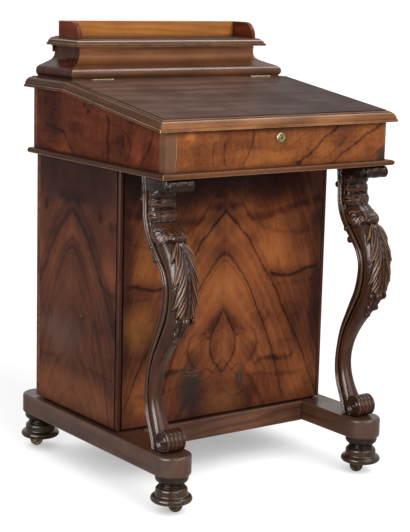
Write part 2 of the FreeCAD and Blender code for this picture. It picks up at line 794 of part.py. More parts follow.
escutcheon_profile = [line(0, 0, escutcheon_radius, 0),
                      arc(escutcheon_radius, 0, escutcheon_radius * 0.8, escutcheon_thickness * 0.9,
                          escutcheon_radius * 0.55, escutcheon_thickness),
                      line(escutcheon_radius * 0.55, escutcheon_thickness, 0, escutcheon_thickness),
                      line(0, escutcheon_thickness, 0, 0)]
escutcheon = turned(escutcheon_profile, V(0, front_y, keyhole_z), V(0, -1, 0))
escutcheon = escutcheon.cut(keyhole(4 * escutcheon_thickness, front_y - 2 * escutcheon_thickness))
save("keyhole_escutcheon", escutcheon)
save("box_front", box_front.cut(keyhole(box_front_board + 2, front_y - 1)))

# Nest of two small drawers and a row of pigeonholes at the back of the well
nest_front = inner_back - nest_depth
shelf_z = floor_of_well + small_drawer_height + drawer_gap
nest = [block(-box_inner_half, box_inner_half, nest_front, inner_back, shelf_z, shelf_z + nest_thickness),
        block(-nest_thickness / 2, nest_thickness / 2, nest_front, inner_back, floor_of_well, shelf_z)]
pitch = 2 * box_inner_half / pigeonhole_count
for number in range(1, pigeonhole_count):
    x = -box_inner_half + number * pitch
    nest.append(block(x - nest_thickness / 2, x + nest_thickness / 2, nest_front, inner_back,
                      shelf_z + nest_thickness, top_underside))
save("pigeonhole_nest", *nest)


def small_drawer(centre_x):
    """A drawer that faces -Y: a front board with a knob, and its tray behind it."""
    width = box_inner_half - nest_thickness / 2 - 2 * drawer_gap
    height = small_drawer_height - drawer_gap
    front = block(-width / 2, width / 2, 0, small_drawer_front, 0, height)
    hole = spigot_radius + spigot_clearance
    depth = small_drawer_front - 1
    front = front.cut(Part.makeCylinder(hole, depth, V(0, -0.5, height / 2), Y_AXIS))
    pull = knob(small_knob_radius, small_knob_radius * 0.6, small_knob_projection)
    pull = turned(pull, V(0, 0, height / 2), V(0, -1, 0))
    pull = pull.cut(block(-width, width, depth - 1, nest_depth, 0, height))
    tray_length = nest_depth - small_drawer_front - small_drawer_backroom
    tray = drawer_tray(width, height - small_drawer_headroom, tray_length, small_drawer_wall,
                       small_drawer_wall / 2, drawer_bottom_lift / 2)
    pieces = [front, pull]
    for part in tray:
        part.rotate(ORIGIN, Z_AXIS, -90)
        pieces.append(part.translated(V(0, small_drawer_front, 0)))
    return [part.translated(V(centre_x, nest_front, floor_of_well)) for part in pieces]


small_centre = (box_inner_half + nest_thickness / 2) / 2
save("small_drawer_left", *small_drawer(-small_centre))
save("small_drawer_right", *small_drawer(small_centre))


# Stationery box: an ogee front and ends, mitred, with a plain back
def ogee():
    """X points out from the face of the neck, and the foot of the box is at 0. A
    hollow leads from the upright neck into a straight fall and a round bulge."""
    fall = math.radians(ogee_fall)
    hollow_top = ogee_height - ogee_neck_height
    hollow_x = cavetto_radius * (1 - math.sin(fall))
    hollow_z = hollow_top - cavetto_radius * math.cos(fall)
    mid = (math.pi / 2 - fall) / 2
    centre_x = bulge_projection - bulge_radius
    crown_x = centre_x + bulge_radius * math.sin(fall)
    crown_z = bulge_centre_height + bulge_radius * math.cos(fall)
    under = math.radians(bulge_undercut)
    foot_x = centre_x + bulge_radius * math.cos(under)
    foot_z = bulge_centre_height - bulge_radius * math.sin(under)
    edges = [line(-ogee_neck_wall, ogee_height, 0, ogee_height), line(0, ogee_height, 0, hollow_top),
             arc(0, hollow_top, cavetto_radius * (1 - math.cos(mid)),
                 hollow_top - cavetto_radius * math.sin(mid), hollow_x, hollow_z),
             line(hollow_x, hollow_z, crown_x, crown_z),
             arc(crown_x, crown_z, bulge_projection, bulge_centre_height, foot_x, foot_z),
             line(foot_x, foot_z, foot_x, 0), line(foot_x, 0, -ogee_neck_wall, 0),
             line(-ogee_neck_wall, 0, -ogee_neck_wall, ogee_height)]
    return Part.Face(Part.Wire(edges))


neck_half = half_width - ogee_side_inset
neck_front = hinge_y + ogee_front_setback
compartment_half = neck_half - ogee_neck_wall
compartment_front = neck_front + ogee_neck_wall
ogee_left = left_strip(ogee(), -neck_half, neck_front, back_y, desk_top)
save("stationery_ends", ogee_left, mirrored(ogee_left))
save("stationery_front", front_strip(ogee(), neck_half, neck_front, desk_top))
save("stationery_back", block(-compartment_half, compartment_half, inner_back, back_y,
                              desk_top, cover_underside))
dividers = []
pitch = 2 * compartment_half / (divider_count + 1)
for number in range(1, divider_count + 1):
    x = -compartment_half + number * pitch
    dividers.append(block(x - divider_thickness / 2, x + divider_thickness / 2, compartment_front, inner_back,
                          desk_top, cover_underside - divider_drop))
save("stationery_dividers", *dividers)

# Stationery lid with a moulded edge, and the gallery that stands on it
cover = block(-neck_half, neck_half, neck_front, back_y, cover_underside, cover_top)
cover_left = left_strip(thumb(cover_thickness), -neck_half, neck_front, back_y, cover_top)
cover = cover.fuse(cover_left).fuse(mirrored(cover_left))
cover = cover.fuse(front_strip(thumb(cover_thickness), neck_half, neck_front, cover_top))
gallery_half = neck_half + edge_projection - gallery_side_inset
gallery_back = back_y - gallery_back_inset
gallery_front = gallery_back - gallery_length
gallery_top = cover_top + gallery_height
rail_front = gallery_back - gallery_thickness
housing_floor = cover_top - gallery_housing
gallery_rail = block(-gallery_half, gallery_half, rail_front, gallery_back, housing_floor, gallery_top)
curve_start = gallery_front + gallery_curve
bend = math.sqrt(0.5)
end_outline = Part.Wire([
    Part.LineSegment(V(0, rail_front, housing_floor), V(0, rail_front, gallery_top)).toShape(),
    Part.LineSegment(V(0, rail_front, gallery_top), V(0, curve_start, gallery_top)).toShape(),
    Part.Arc(V(0, curve_start, gallery_top),
             V(0, curve_start - gallery_curve * bend, cover_top + gallery_height * bend),
             V(0, gallery_front, cover_top)).toShape(),
    Part.LineSegment(V(0, gallery_front, cover_top), V(0, gallery_front, housing_floor)).toShape(),
    Part.LineSegment(V(0, gallery_front, housing_floor), V(0, rail_front, housing_floor)).toShape()])
gallery_end = Part.Face(end_outline).extrude(V(gallery_thickness, 0, 0)).translated(V(-gallery_half, 0, 0))
save("gallery", gallery_rail, gallery_end, mirrored(gallery_end))

# The gallery stands in shallow grooves of the lid
groove_half = gallery_half + gallery_fit
groove_inner = gallery_half - gallery_thickness - gallery_fit
end_groove = block(groove_inner, groove_half, gallery_front - gallery_fit, gallery_back + gallery_fit,
                   housing_floor, cover_top + 1)
cover = cover.cut(block(-groove_half, groove_half, rail_front - gallery_fit, gallery_back + gallery_fit,
                        housing_floor, cover_top + 1))
cover = cover.cut(end_groove).cut(mirrored(end_groove))
save("stationery_lid", cover.removeSplitter())

# Scroll legs. Each station of the S gives the place of its back and front edges, as
# a share of the leg's height and a share of its sweep behind the box front, and then
# the width as a share of the head's.
leg_station_shares = (
    (1.000, 0.75, 1.000, 0.31, 1.00),
    (0.949, 0.73, 0.955, 0.31, 0.96),
    (0.898, 0.71, 0.904, 0.34, 0.94),
    (0.847, 0.69, 0.861, 0.31, 0.96),
    (0.800, 0.61, 0.822, 0.20, 1.00),
    (0.753, 0.45, 0.781, -0.05, 1.04),
    (0.713, 0.27, 0.730, -0.25, 1.06),
    (0.669, 0.09, 0.677, -0.365, 1.06),
    (0.620, 0.01, 0.620, -0.405, 1.04),
    (0.575, 0.03, 0.566, -0.40, 1.00),
    (0.513, 0.12, 0.509, -0.34, 0.93),
    (0.464, 0.25, 0.450, -0.16, 0.83),
    (0.411, 0.39, 0.393, 0.06, 0.74),
    (0.348, 0.54, 0.335, 0.27, 0.67),
    (0.280, 0.64, 0.274, 0.42, 0.59),
    (0.207, 0.70, 0.207, 0.47, 0.54),
    (0.153, 0.69, 0.157, 0.43, 0.54),
    (0.106, 0.62, 0.112, 0.34, 0.57),
    (0.063, 0.50, 0.076, 0.24, 0.65),
    (0.022, 0.41, 0.049, 0.15, 0.70),
    (0.000, 0.37, 0.000, 0.09, 0.74),
)
# Lower edges of the husk's cuffs, and the leaf's half width at places down the knee,
# as shares of the leg's height and of its half width
cuff_shares = (0.949, 0.900, 0.840, 0.779)
leaf_shares = ((0.776, 0.30), (0.730, 0.62), (0.670, 0.85), (0.600, 0.88), (0.550, 0.82), (0.505, 0.36))


def straight(start, end):
    return Part.LineSegment(start, end).toShape()


def leg_edges(station):
    """Back point, front point and half width of the leg at a station."""
    back_height, back_depth, front_height, front_depth, width = station
    back = V(0, front_y + back_depth * leg_sweep, runner_top + back_height * pedestal_height)
    front = V(0, front_y + front_depth * leg_sweep, runner_top + front_height * pedestal_height)
    return back, front, width * leg_head_width / 2


def station_at(share):
    """The station at any share of the leg's height, between those that are listed."""
    for upper, lower in zip(leg_station_shares, leg_station_shares[1:]):
        if lower[2] <= share <= upper[2]:
            part = (upper[2] - share) / (upper[2] - lower[2])
            return [high + (low - high) * part for high, low in zip(upper, lower)]


def round_front(root, tip, side):
    """Two arcs round the front of a section, from its right side to its left."""
    shoulder = root + (tip - root) * body_fullness
    right = Part.Arc(root + side, shoulder + side * body_fullness, tip).toShape()
    left = Part.Arc(tip, shoulder - side * body_fullness, root - side).toShape()
    return [right, left]


def leg_section(station):
    """A flat back, a band along each side, a hollow beside it and a round front."""
    back, front, half = leg_edges(station)
    run = front - back
    side = V(half, 0, 0)
    dip = V(leg_hollow_depth, 0, 0)
    band_end = back + run * min(leg_band_width / run.Length, leg_band_share)
    body_start = band_end + run * min(leg_hollow_width / run.Length, leg_hollow_share)
    dip_middle = (band_end + body_start) * 0.5
    edges = [straight(back - side, back + side), straight(back + side, band_end + side),
             straight(band_end + side, dip_middle + side - dip),
             straight(dip_middle + side - dip, body_start + side)]
    edges += round_front(body_start, front, side)
    edges += [straight(body_start - side, dip_middle - side + dip),
              straight(dip_middle - side + dip, band_end - side), straight(band_end - side, back - side)]
    return Part.Wire(edges)


def cuff_section(share, swell):
    """The front half of a section, swollen outwards, for the husk above the leaf."""
    back, front, half = leg_edges(station_at(share))
    ahead = (front - back).normalize()
    root = (back + front) * 0.5
    side = V(half + swell, 0, 0)
    return Part.Wire([straight(root - side, root + side)] + round_front(root, front + ahead * swell, side))


def leaf_section(share, width):
    """A strip of the leaf: it lies on the round front and is rooted inside the leg."""
    back, front, half = leg_edges(station_at(share))
    ahead = (front - back).normalize()
    half_leaf = width * half
    fall = (front - back).Length * 0.5 * (1 - math.sqrt(1 - width * width))
    edge = V(half_leaf + width * leaf_lift, 0, 0)
    root = V(half_leaf * 0.6, 0, 0)
    outer = front - ahead * fall
    inner = outer - ahead * leaf_root
    return Part.Wire([Part.Arc(outer - edge, front + ahead * leaf_lift, outer + edge).toShape(),
                      straight(outer + edge, inner + root), straight(inner + root, inner - root),
                      straight(inner - root, outer - edge)])


def roll(radius, width, depth, z):
    """A scroll's roll: a bar across the leg, at a depth behind the box front."""
    return Part.makeCylinder(radius, width, V(-width / 2, front_y + depth, z), X_AXIS)


def volute():
    """The foot's scroll: a drum of reeds with a round eye standing out at each end."""
    half = volute_width / 2
    pitch = volute_width / volute_reeds
    groove = volute_radius - volute_reed_depth
    edges = [line(0, -half, groove, -half)]
    for number in range(volute_reeds):
        low = -half + number * pitch
        rise = low + volute_reed_depth
        fall = low + pitch - volute_reed_depth
        edges.append(line(groove, low, volute_radius, rise))
        edges.append(line(volute_radius, rise, volute_radius, fall))
        edges.append(line(volute_radius, fall, groove, low + pitch))
    edges += [line(groove, half, 0, half), line(0, half, 0, -half)]
    centre_z = runner_top + volute_radius
    drum = turned(edges, V(0, front_y + volute_setback, centre_z), X_AXIS)
    eye_width = volute_width + 2 * volute_eye_projection
    return drum.fuse(roll(volute_eye_radius, eye_width, volute_setback, centre_z))


def scroll_leg():
    leg = Part.makeLoft([leg_section(station) for station in leg_station_shares], True, False)
    for upper, lower in zip(cuff_shares, cuff_shares[1:]):
        swells = ((upper, cuff_lap), ((upper + lower) / 2, cuff_swell * 0.8), (lower, cuff_swell))
        leg = leg.fuse(Part.makeLoft([cuff_section(*swell) for swell in swells], True, False))
    leg = leg.fuse(Part.makeLoft([leaf_section(*place) for place in leaf_shares], True, False))
    head = leg_head_width / 2
    head_back = front_y - ear_reach + head_depth
    head_bottom = box_underside - 2 * ear_radius
    ear_depth = -ear_reach + ear_radius
    leg = leg.fuse(block(-head, head, front_y + ear_depth, head_back, head_bottom, box_underside))
    leg = leg.fuse(roll(ear_radius, leg_head_width, ear_depth, box_underside - ear_radius))
    leg = leg.fuse(volute())
    pad = volute_width / 2
    pad_front = front_y + volute_setback - volute_radius / 2
    pad_top = runner_top + toe_pad_height
    leg = leg.fuse(block(-pad, pad, pad_front, pad_front + volute_radius, runner_top, pad_top))
    rolls = ((leaf_roll_radius, leaf_roll_width, -leaf_roll_reach, leaf_roll_share),
             (pendant_roll_radius, pendant_roll_width, -pendant_roll_reach, pendant_roll_share),
             (scroll_curl_radius, scroll_curl_width, upper_curl_setback, upper_curl_share),
             (scroll_curl_radius, scroll_curl_width, lower_curl_setback, lower_curl_share))
    for radius, width, depth, share in rolls:
        leg = leg.fuse(roll(radius, width, depth, runner_top + share * pedestal_height))
    return leg.removeSplitter()


leg = scroll_leg()
save("leg_left", leg.translated(V(-runner_x, 0, 0)))
save("leg_right", leg.translated(V(runner_x, 0, 0)))
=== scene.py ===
# %% [markdown]
# A davenport is a small sloping desk that stands on a pedestal of side drawers. This lesson
# dresses one in figured walnut, old polish and tarnished brass. The frame holds every board at
# its real size and place, so the lesson adds finishes, softened edges, the rings of the turned
# feet and the carving of the legs.

# %% Load the frame
import math
import bpy
import numpy as np
from mathutils import Matrix, Vector


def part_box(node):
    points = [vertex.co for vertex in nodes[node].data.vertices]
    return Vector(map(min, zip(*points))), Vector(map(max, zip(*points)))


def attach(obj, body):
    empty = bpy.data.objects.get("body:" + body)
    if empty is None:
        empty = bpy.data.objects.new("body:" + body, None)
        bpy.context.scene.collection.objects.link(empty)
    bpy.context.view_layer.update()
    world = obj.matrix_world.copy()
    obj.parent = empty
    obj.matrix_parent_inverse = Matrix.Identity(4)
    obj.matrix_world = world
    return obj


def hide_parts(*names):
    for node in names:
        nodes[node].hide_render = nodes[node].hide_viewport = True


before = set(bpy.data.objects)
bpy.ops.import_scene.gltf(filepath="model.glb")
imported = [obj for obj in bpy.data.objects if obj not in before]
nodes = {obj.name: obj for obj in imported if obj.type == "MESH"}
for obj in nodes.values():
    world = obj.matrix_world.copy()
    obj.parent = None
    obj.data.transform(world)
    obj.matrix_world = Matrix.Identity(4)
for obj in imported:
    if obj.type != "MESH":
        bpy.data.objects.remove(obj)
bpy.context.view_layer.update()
scene = bpy.context.scene
MM = 0.001

# %% [markdown]
# The camera stands in front of the desk, to its left and a little above the slope. A camera can
# be aimed by hand, by a constraint or by its matrix. The matrix is used here, because the view
# has a slight roll and each of its three directions is then written down once.

# %% Camera
image_height_px = 532
focal_length_px = 1538.5
sensor_height = 24.0
camera_place = Vector((-1.7316, -2.3815, 0.9461))
yaw, pitch, roll = (math.radians(angle) for angle in (36.114, -10.700, 1.4405))
ahead = Vector((math.sin(yaw) * math.cos(pitch), math.cos(yaw) * math.cos(pitch), math.sin(pitch)))
level_right = Vector((math.cos(yaw), -math.sin(yaw), 0))
level_up = level_right.cross(ahead)
view_right = level_right * math.cos(roll) + level_up * math.sin(roll)
view_up = level_up * math.cos(roll) - level_right * math.sin(roll)
camera_data = bpy.data.cameras.new("studio_camera")
camera_data.sensor_fit = "VERTICAL"
camera_data.sensor_height = sensor_height
camera_data.lens = focal_length_px * sensor_height / image_height_px
camera = bpy.data.objects.new("studio_camera", camera_data)
turn = Matrix((view_right, view_up, -ahead)).transposed().to_4x4()
camera.matrix_world = Matrix.Translation(camera_place) @ turn
scene.collection.objects.link(camera)
scene.camera = camera
print("camera lens %.1f mm" % camera_data.lens)

# %% [markdown]
# Materials are node trees, and wiring nodes one by one makes long code. This small class keeps
# each step on one line: a value may be a number, a colour or the output of an earlier node, and
# the method decides whether to set a socket or to link it.

# %% Node wiring helpers
def srgb(red, green, blue):
    """A colour as an eye or a paint chart gives it (0 to 255), for Blender's linear sockets."""
    def linear(value):
        share = value / 255
        return share / 12.92 if share <= 0.04045 else ((share + 0.055) / 1.055) ** 2.4
    return (linear(red), linear(green), linear(blue), 1.0)


class Wiring:
    """Short ways to add nodes to one tree and to join them."""

    def __init__(self, tree):
        self.tree = tree

    def add(self, kind, **settings):
        node = self.tree.nodes.new(kind)
        for name, value in settings.items():
            setattr(node, name, value)
        return node

    def join(self, value, socket):
        if isinstance(value, bpy.types.NodeSocket):
            self.tree.links.new(value, socket)
        else:
            socket.default_value = value

    def fill(self, node, *values):
        """Give a node its inputs in their order. Returns its outputs."""
        for value, socket in zip(values, node.inputs):
            self.join(value, socket)
        return node.outputs

    def own_place(self):
        return self.add("ShaderNodeTexCoord").outputs["Object"]

    def math(self, operation, *values):
        return self.fill(self.add("ShaderNodeMath", operation=operation), *values)[0]

    def plus(self, first, second):
        return self.math("ADD", first, second)

    def less(self, first, second):
        return self.math("SUBTRACT", first, second)

    def times(self, first, second):
        return self.math("MULTIPLY", first, second)

    def apart(self, first, second):
        return self.math("ABSOLUTE", self.less(first, second))

    def move(self, operation, *values):
        outputs = self.fill(self.add("ShaderNodeVectorMath", operation=operation), *values)
        return outputs["Value" if operation in ("LENGTH", "DOT_PRODUCT") else "Vector"]

    def blend(self, factor, first, second):
        node = self.add("ShaderNodeMix", data_type="RGBA")
        for value, place in ((factor, 0), (first, 6), (second, 7)):
            self.join(value, node.inputs[place])
        return node.outputs[2]

    def tint(self, tone, mask, strength, colour):
        """Lay a colour over a tone, as far as a mask and a strength say."""
        return self.blend(self.times(mask, strength), tone, colour)

    def span(self, value, low, high, to_low=0.0, to_high=1.0, how="SMOOTHSTEP"):
        """Turn one range of a value into another, and hold it at the ends."""
        node = self.add("ShaderNodeMapRange", interpolation_type=how)
        return self.fill(node, value, low, high, to_low, to_high)[0]

    def noise(self, vector, scale, detail=3.0, roughness=0.55):
        node = self.add("ShaderNodeTexNoise")
        self.join(vector, node.inputs["Vector"])
        node.inputs["Scale"].default_value = scale
        node.inputs["Detail"].default_value = detail
        node.inputs["Roughness"].default_value = roughness
        return node.outputs["Fac"]

    def parts(self, vector):
        return self.fill(self.add("ShaderNodeSeparateXYZ"), vector)

    def vector(self, x, y, z):
        return self.fill(self.add("ShaderNodeCombineXYZ"), x, y, z)[0]

    def ramp(self, value, stops):
        node = self.add("ShaderNodeValToRGB")
        elements = node.color_ramp.elements
        for position, _ in stops[2:]:
            elements.new(position)
        for element, (position, colour) in zip(elements, stops):
            element.position = position
            element.color = colour
        return self.fill(node, value)[0]

    def curve(self, value, points):
        """A smooth curve through points. Both of their values run from 0 to 1."""
        node = self.add("ShaderNodeFloatCurve")
        line = node.mapping.curves[0]
        for place in points[1:-1]:
            line.points.new(*place)
        line.points[0].location = points[0]
        line.points[len(points) - 1].location = points[-1]
        node.mapping.update()
        self.join(value, node.inputs["Value"])
        return node.outputs[0]

    def group(self, tree, **values):
        node = self.add("ShaderNodeGroup", node_tree=tree)
        for name, value in values.items():
            self.join(value, node.inputs[name])
        return node.outputs


def new_group(name, inputs, outputs):
    """A node group with named sockets. Returns its wiring, its inputs and its output node."""
    tree = bpy.data.node_groups.new(name, "ShaderNodeTree")
    for label, kind in inputs.items():
        tree.interface.new_socket(label, in_out="INPUT", socket_type="NodeSocket" + kind)
    for label, kind in outputs.items():
        tree.interface.new_socket(label, in_out="OUTPUT", socket_type="NodeSocket" + kind)
    wiring = Wiring(tree)
    return wiring, wiring.add("NodeGroupInput").outputs, wiring.add("NodeGroupOutput").inputs


print("wiring helpers ready")

# %% [markdown]
# Every wooden finish shares its smallest detail: long streaks of fibre, short dark pores and a
# slow change of tone. An image of wood would repeat and would need unwrapping, so the detail is
# solid noise, stretched along the grain. The group takes a place with the grain along Z.

# %% Fibre of the wood
fibre, given, result = new_group("wood_fibre", {"Vector": "Vector"},
                                 {"Streak": "Float", "Pore": "Float", "Mottle": "Float"})
streak_stretch = (75, 75, 3.0)
pore_stretch = (820, 820, 36)
streak_place = fibre.move("MULTIPLY", given["Vector"], streak_stretch)
pore_place = fibre.move("MULTIPLY", given["Vector"], pore_stretch)
fibre.join(fibre.noise(streak_place, 1.0, 5.0, 0.62), result["Streak"])
fibre.join(fibre.span(fibre.noise(pore_place, 1.0, 2.0), 0.58, 0.72), result["Pore"])
fibre.join(fibre.noise(given["Vector"], 9.0, 3.0), result["Mottle"])
print("group", fibre.tree.name)

# %% [markdown]
# Veneer cut across a forked branch shows flames, and two leaves of it laid edge to edge mirror
# each other. An arch is a line of growth that both leaves share: it has a top on the joint and
# falls away on both sides. The group tells how high a place lies above one such arch, so that
# a finish can draw the line itself and can shade the wood above it.

# %% Book-matched arches
arch, given, result = new_group(
    "veneer_arch",
    {"Vector": "Vector", "Top": "Float", "Spread": "Float", "Narrowing": "Float", "Width": "Float",
     "Shade": "Float"},
    {"Line": "Float", "Above": "Float", "Level": "Float"})
arch_rounding = 0.005
across, _, up = arch.parts(given["Vector"])
rounded = arch.math("SQRT", arch.plus(arch.times(across, across), arch_rounding**2))
arm = arch.less(rounded, arch_rounding)
fall = arch.plus(given["Spread"], arch.times(arm, given["Narrowing"]))
level = arch.less(arch.plus(up, arch.times(arm, fall)), given["Top"])
arch.join(arch.span(arch.math("ABSOLUTE", level), given["Width"], 0.0), result["Line"])
arch.join(arch.span(level, 0.0, given["Shade"]), result["Above"])
arch.join(level, result["Level"])
print("group", arch.tree.name)

# %% [markdown]
# Knots, stains and patches of darker or brighter wood are ovals with soft rims. The group measures
# how far a place lies from the middle of such a spot, in shares of its size.

# %% Spots in the veneer
spot, given, result = new_group(
    "veneer_spot", {"Vector": "Vector", "Centre": "Vector", "Size": "Vector"}, {"Mask": "Float"})
offset = spot.move("SUBTRACT", given["Vector"], given["Centre"])
reach = spot.move("LENGTH", spot.move("DIVIDE", offset, given["Size"]))
spot.join(spot.span(reach, 1.0, 0.25), result["Mask"])
print("group", spot.tree.name)

# %% [markdown]
# Straight-grained boards show the same lines of growth, but nearly parallel. Their figure is a
# distance across the board, bent by slow noise and cut into uneven lines.

# %% Straight growth lines
growth, given, result = new_group("growth_lines", {"Vector": "Vector", "Spacing": "Float"},
                                  {"Line": "Float"})
bend_stretch = (6.0, 6.0, 1.6)
bend_depth = 0.11
slant = 0.6
grow_x, grow_y, grow_z = growth.parts(given["Vector"])
bent = growth.noise(growth.move("MULTIPLY", given["Vector"], bend_stretch), 1.0, 3.0)
reach = growth.plus(growth.plus(grow_x, growth.times(grow_y, slant)), growth.times(bent, bend_depth))
saw = growth.math("FRACT", growth.math("DIVIDE", reach, given["Spacing"]))
edge = growth.times(growth.span(saw, 0.35, 0.92), growth.span(saw, 1.0, 0.93))
weight = growth.noise(growth.vector(growth.times(reach, 40.0), 0.0, grow_z), 1.0, 2.0)
growth.join(growth.times(edge, weight), result["Line"])
print("group", growth.tree.name)

# %% [markdown]
# Old furniture wears pale on its outer edges and gathers dark wax in its corners, and the corners
# are also darkened with painted shade. Both follow the shape alone: the bevel normal differs from the
# true one at an edge, and occlusion finds the hollows. The group puts out the two masks, and each finish
# decides what to do with them.

# %% Wear, wax and painted shade
ageing, given, result = new_group("edge_wear_wax_and_shade", {"Edge": "Float", "Hollow": "Float"},
                                  {"Wear": "Float", "WaxAndShade": "Float"})
bevelled = ageing.add("ShaderNodeBevel", samples=4)
ageing.join(given["Edge"], bevelled.inputs["Radius"])
true_normal = ageing.add("ShaderNodeNewGeometry").outputs["Normal"]
bent_away = ageing.move("DOT_PRODUCT", bevelled.outputs[0], true_normal)
occlusion = ageing.add("ShaderNodeAmbientOcclusion", samples=6)
ageing.join(given["Hollow"], occlusion.inputs["Distance"])
open_air = occlusion.outputs["AO"]
rubbed = ageing.span(ageing.noise(ageing.own_place(), 38.0, 3.0), 0.38, 0.62, 0.15, 1.0)
convex = ageing.span(open_air, 0.72, 0.95)
edge_mask = ageing.span(bent_away, 0.985, 0.86)
ageing.join(ageing.times(ageing.times(edge_mask, convex), rubbed), result["Wear"])
# Wax together with painted shade in the hollows, found by occlusion
ageing.join(ageing.span(open_air, 0.85, 0.35), result["WaxAndShade"])
print("group", ageing.tree.name)

# %% [markdown]
# All finishes end in one Principled shader. This helper sets it up: what changes over the
# surface is linked, and what is the same all over is set on the shader's own sockets.

# %% Finish helper
def shader_with(name, coat=0.0, coat_roughness=0.15, specular=0.22):
    material = bpy.data.materials.new(name)
    material.use_nodes = True
    tree = material.node_tree
    shader = tree.nodes["Principled BSDF"]
    shader.inputs["Coat Weight"].default_value = coat
    shader.inputs["Coat Roughness"].default_value = coat_roughness
    shader.inputs["Specular IOR Level"].default_value = specular
    return material, Wiring(tree), shader


def add_bump(wiring, shader, height, depth_mm, strength=1.0):
    bump = wiring.add("ShaderNodeBump")
    bump.inputs["Strength"].default_value = strength
    bump.inputs["Distance"].default_value = depth_mm * MM
    wiring.join(height, bump.inputs["Height"])
    wiring.join(bump.outputs[0], shader.inputs["Normal"])


def dress(material, *names):
    for name in names:
        nodes[name].data.materials.clear()
        nodes[name].data.materials.append(material)


grain_turns = {"x": (0, math.pi / 2, 0), "y": (math.pi / 2, 0, 0), "z": (0, 0, 0)}


def grain_place(wiring, along):
    """The object's own place, turned so that the grain runs along Z."""
    mapping = wiring.add("ShaderNodeMapping")
    mapping.inputs["Rotation"].default_value = grain_turns[along]
    wiring.join(wiring.own_place(), mapping.inputs["Vector"])
    return mapping.outputs[0]


print("finish helpers ready")

# %% [markdown]
# Plain walnut covers mouldings, boards and turned work. Three tones go from the dark line of
# growth to the pale fibre, and every piece has its own. Wax and painted shade darken the hollows,
# and the worn edges show paler wood. The roughness follows the fibre, because polish sinks into the
# pores. Round a mitred frame the grain turns with each strip, so the place is worked out per strip.

# %% Plain walnut
wax_and_shade_colour = srgb(16, 9, 7)
shade_colour = srgb(40, 22, 17)
worn_colour = srgb(186, 138, 92)


def strip_place(wiring, half, front):
    """A place on a mitred frame: along its strip, how far out, and whether on a side strip."""
    x, y, z = wiring.parts(wiring.own_place())
    beyond = wiring.less(wiring.math("ABSOLUTE", x), half)
    before = wiring.less(front, y)
    on_side = wiring.math("GREATER_THAN", beyond, before)
    gap = wiring.times(wiring.less(y, x), on_side)
    place = wiring.vector(wiring.less(y, gap), z, wiring.plus(x, gap))
    return place, wiring.math("MAXIMUM", beyond, before), on_side


def plain_walnut(name, along, tones, roughness=0.34, coat=0.02, specular=0.06, spacing=0.02, wear=0.75,
                 wax_and_shade=0.7, strip=None, quirks=(), fade=None, side_shade=0.0):
    """Polished walnut. A fade is a direction, where it is full, where it ends, colour, strength."""
    dark, middle, pale = tones
    material, wiring, shader = shader_with(name, coat, specular=specular)
    if strip:
        place, outward, on_side = strip_place(wiring, *strip)
    else:
        place = grain_place(wiring, along)
    small = wiring.group(fibre.tree, Vector=place)
    line = wiring.group(growth.tree, Vector=place, Spacing=spacing)["Line"]
    age = wiring.group(ageing.tree, Edge=1.8 * MM, Hollow=12 * MM)
    tone = wiring.blend(wiring.span(small["Streak"], 0.28, 0.72), middle, pale)
    tone = wiring.blend(wiring.span(small["Mottle"], 0.35, 0.7, 0.0, 0.55), tone, dark)
    tone = wiring.tint(tone, line, 0.8, dark)
    tone = wiring.tint(tone, small["Pore"], 0.45, dark)
    # Painted shade on the side strips of a mitred frame
    if side_shade:
        tone = wiring.tint(tone, on_side, side_shade, shade_colour)
    tone = wiring.tint(tone, age["Wear"], wear, worn_colour)
    # Wax and painted shade darken the hollows
    tone = wiring.tint(tone, age["WaxAndShade"], wax_and_shade, wax_and_shade_colour)
    for distance, width, strength, colour in quirks:
        away = wiring.apart(outward, distance * MM)
        tone = wiring.tint(tone, wiring.span(away, width * MM, 0.3 * width * MM), strength, colour)
    if fade:
        direction, full, none, colour, strength = fade
        reach = wiring.move("DOT_PRODUCT", wiring.own_place(), direction)
        tone = wiring.blend(wiring.span(reach, none, full, 0.0, strength), tone, colour)
    wiring.join(tone, shader.inputs["Base Color"])
    uneven = wiring.plus(wiring.span(small["Mottle"], 0.3, 0.7, -0.05, 0.06), roughness)
    uneven = wiring.plus(uneven, wiring.times(small["Pore"], 0.12))
    wiring.join(uneven, shader.inputs["Roughness"])
    height = wiring.less(wiring.times(small["Streak"], 0.5), small["Pore"])
    add_bump(wiring, shader, height, 0.06, 0.5)
    return material


board_tones = srgb(46, 24, 15), srgb(92, 54, 30), srgb(122, 74, 42)
board_walnut = plain_walnut("board_walnut", "x", board_tones)
dress(board_walnut, "pedestal_back", "pedestal_bottom", "box_back", "stationery_back")
print("back and bottom boards dressed")

# %% [markdown]
# Mouldings edge the lid, the foot of the box, the top board and the stationery lid. The fine
# grooves between their curves, the quirks, hold dark wax, and their edges are rubbed pale; the
# pale lines on their arrises are wear and painted highlights. At a millimetre or two a line of tone
# does for a groove. It is drawn at a set distance from the panel, so that it turns the corner with
# the moulding. The strips on the sides are darkened with painted shade.

# %% Mouldings
lid_edge_tones = srgb(64, 38, 26), srgb(122, 80, 52), srgb(152, 104, 68)
moulding_tones = srgb(38, 20, 13), srgb(76, 44, 26), srgb(102, 62, 37)
groove_line = srgb(22, 12, 9)
# Pale lines: worn arrises together with painted highlights, and a painted highlight alone on the outer
# arris
worn_and_highlight_line = srgb(178, 132, 92)
painted_edge_highlight = srgb(206, 178, 146)
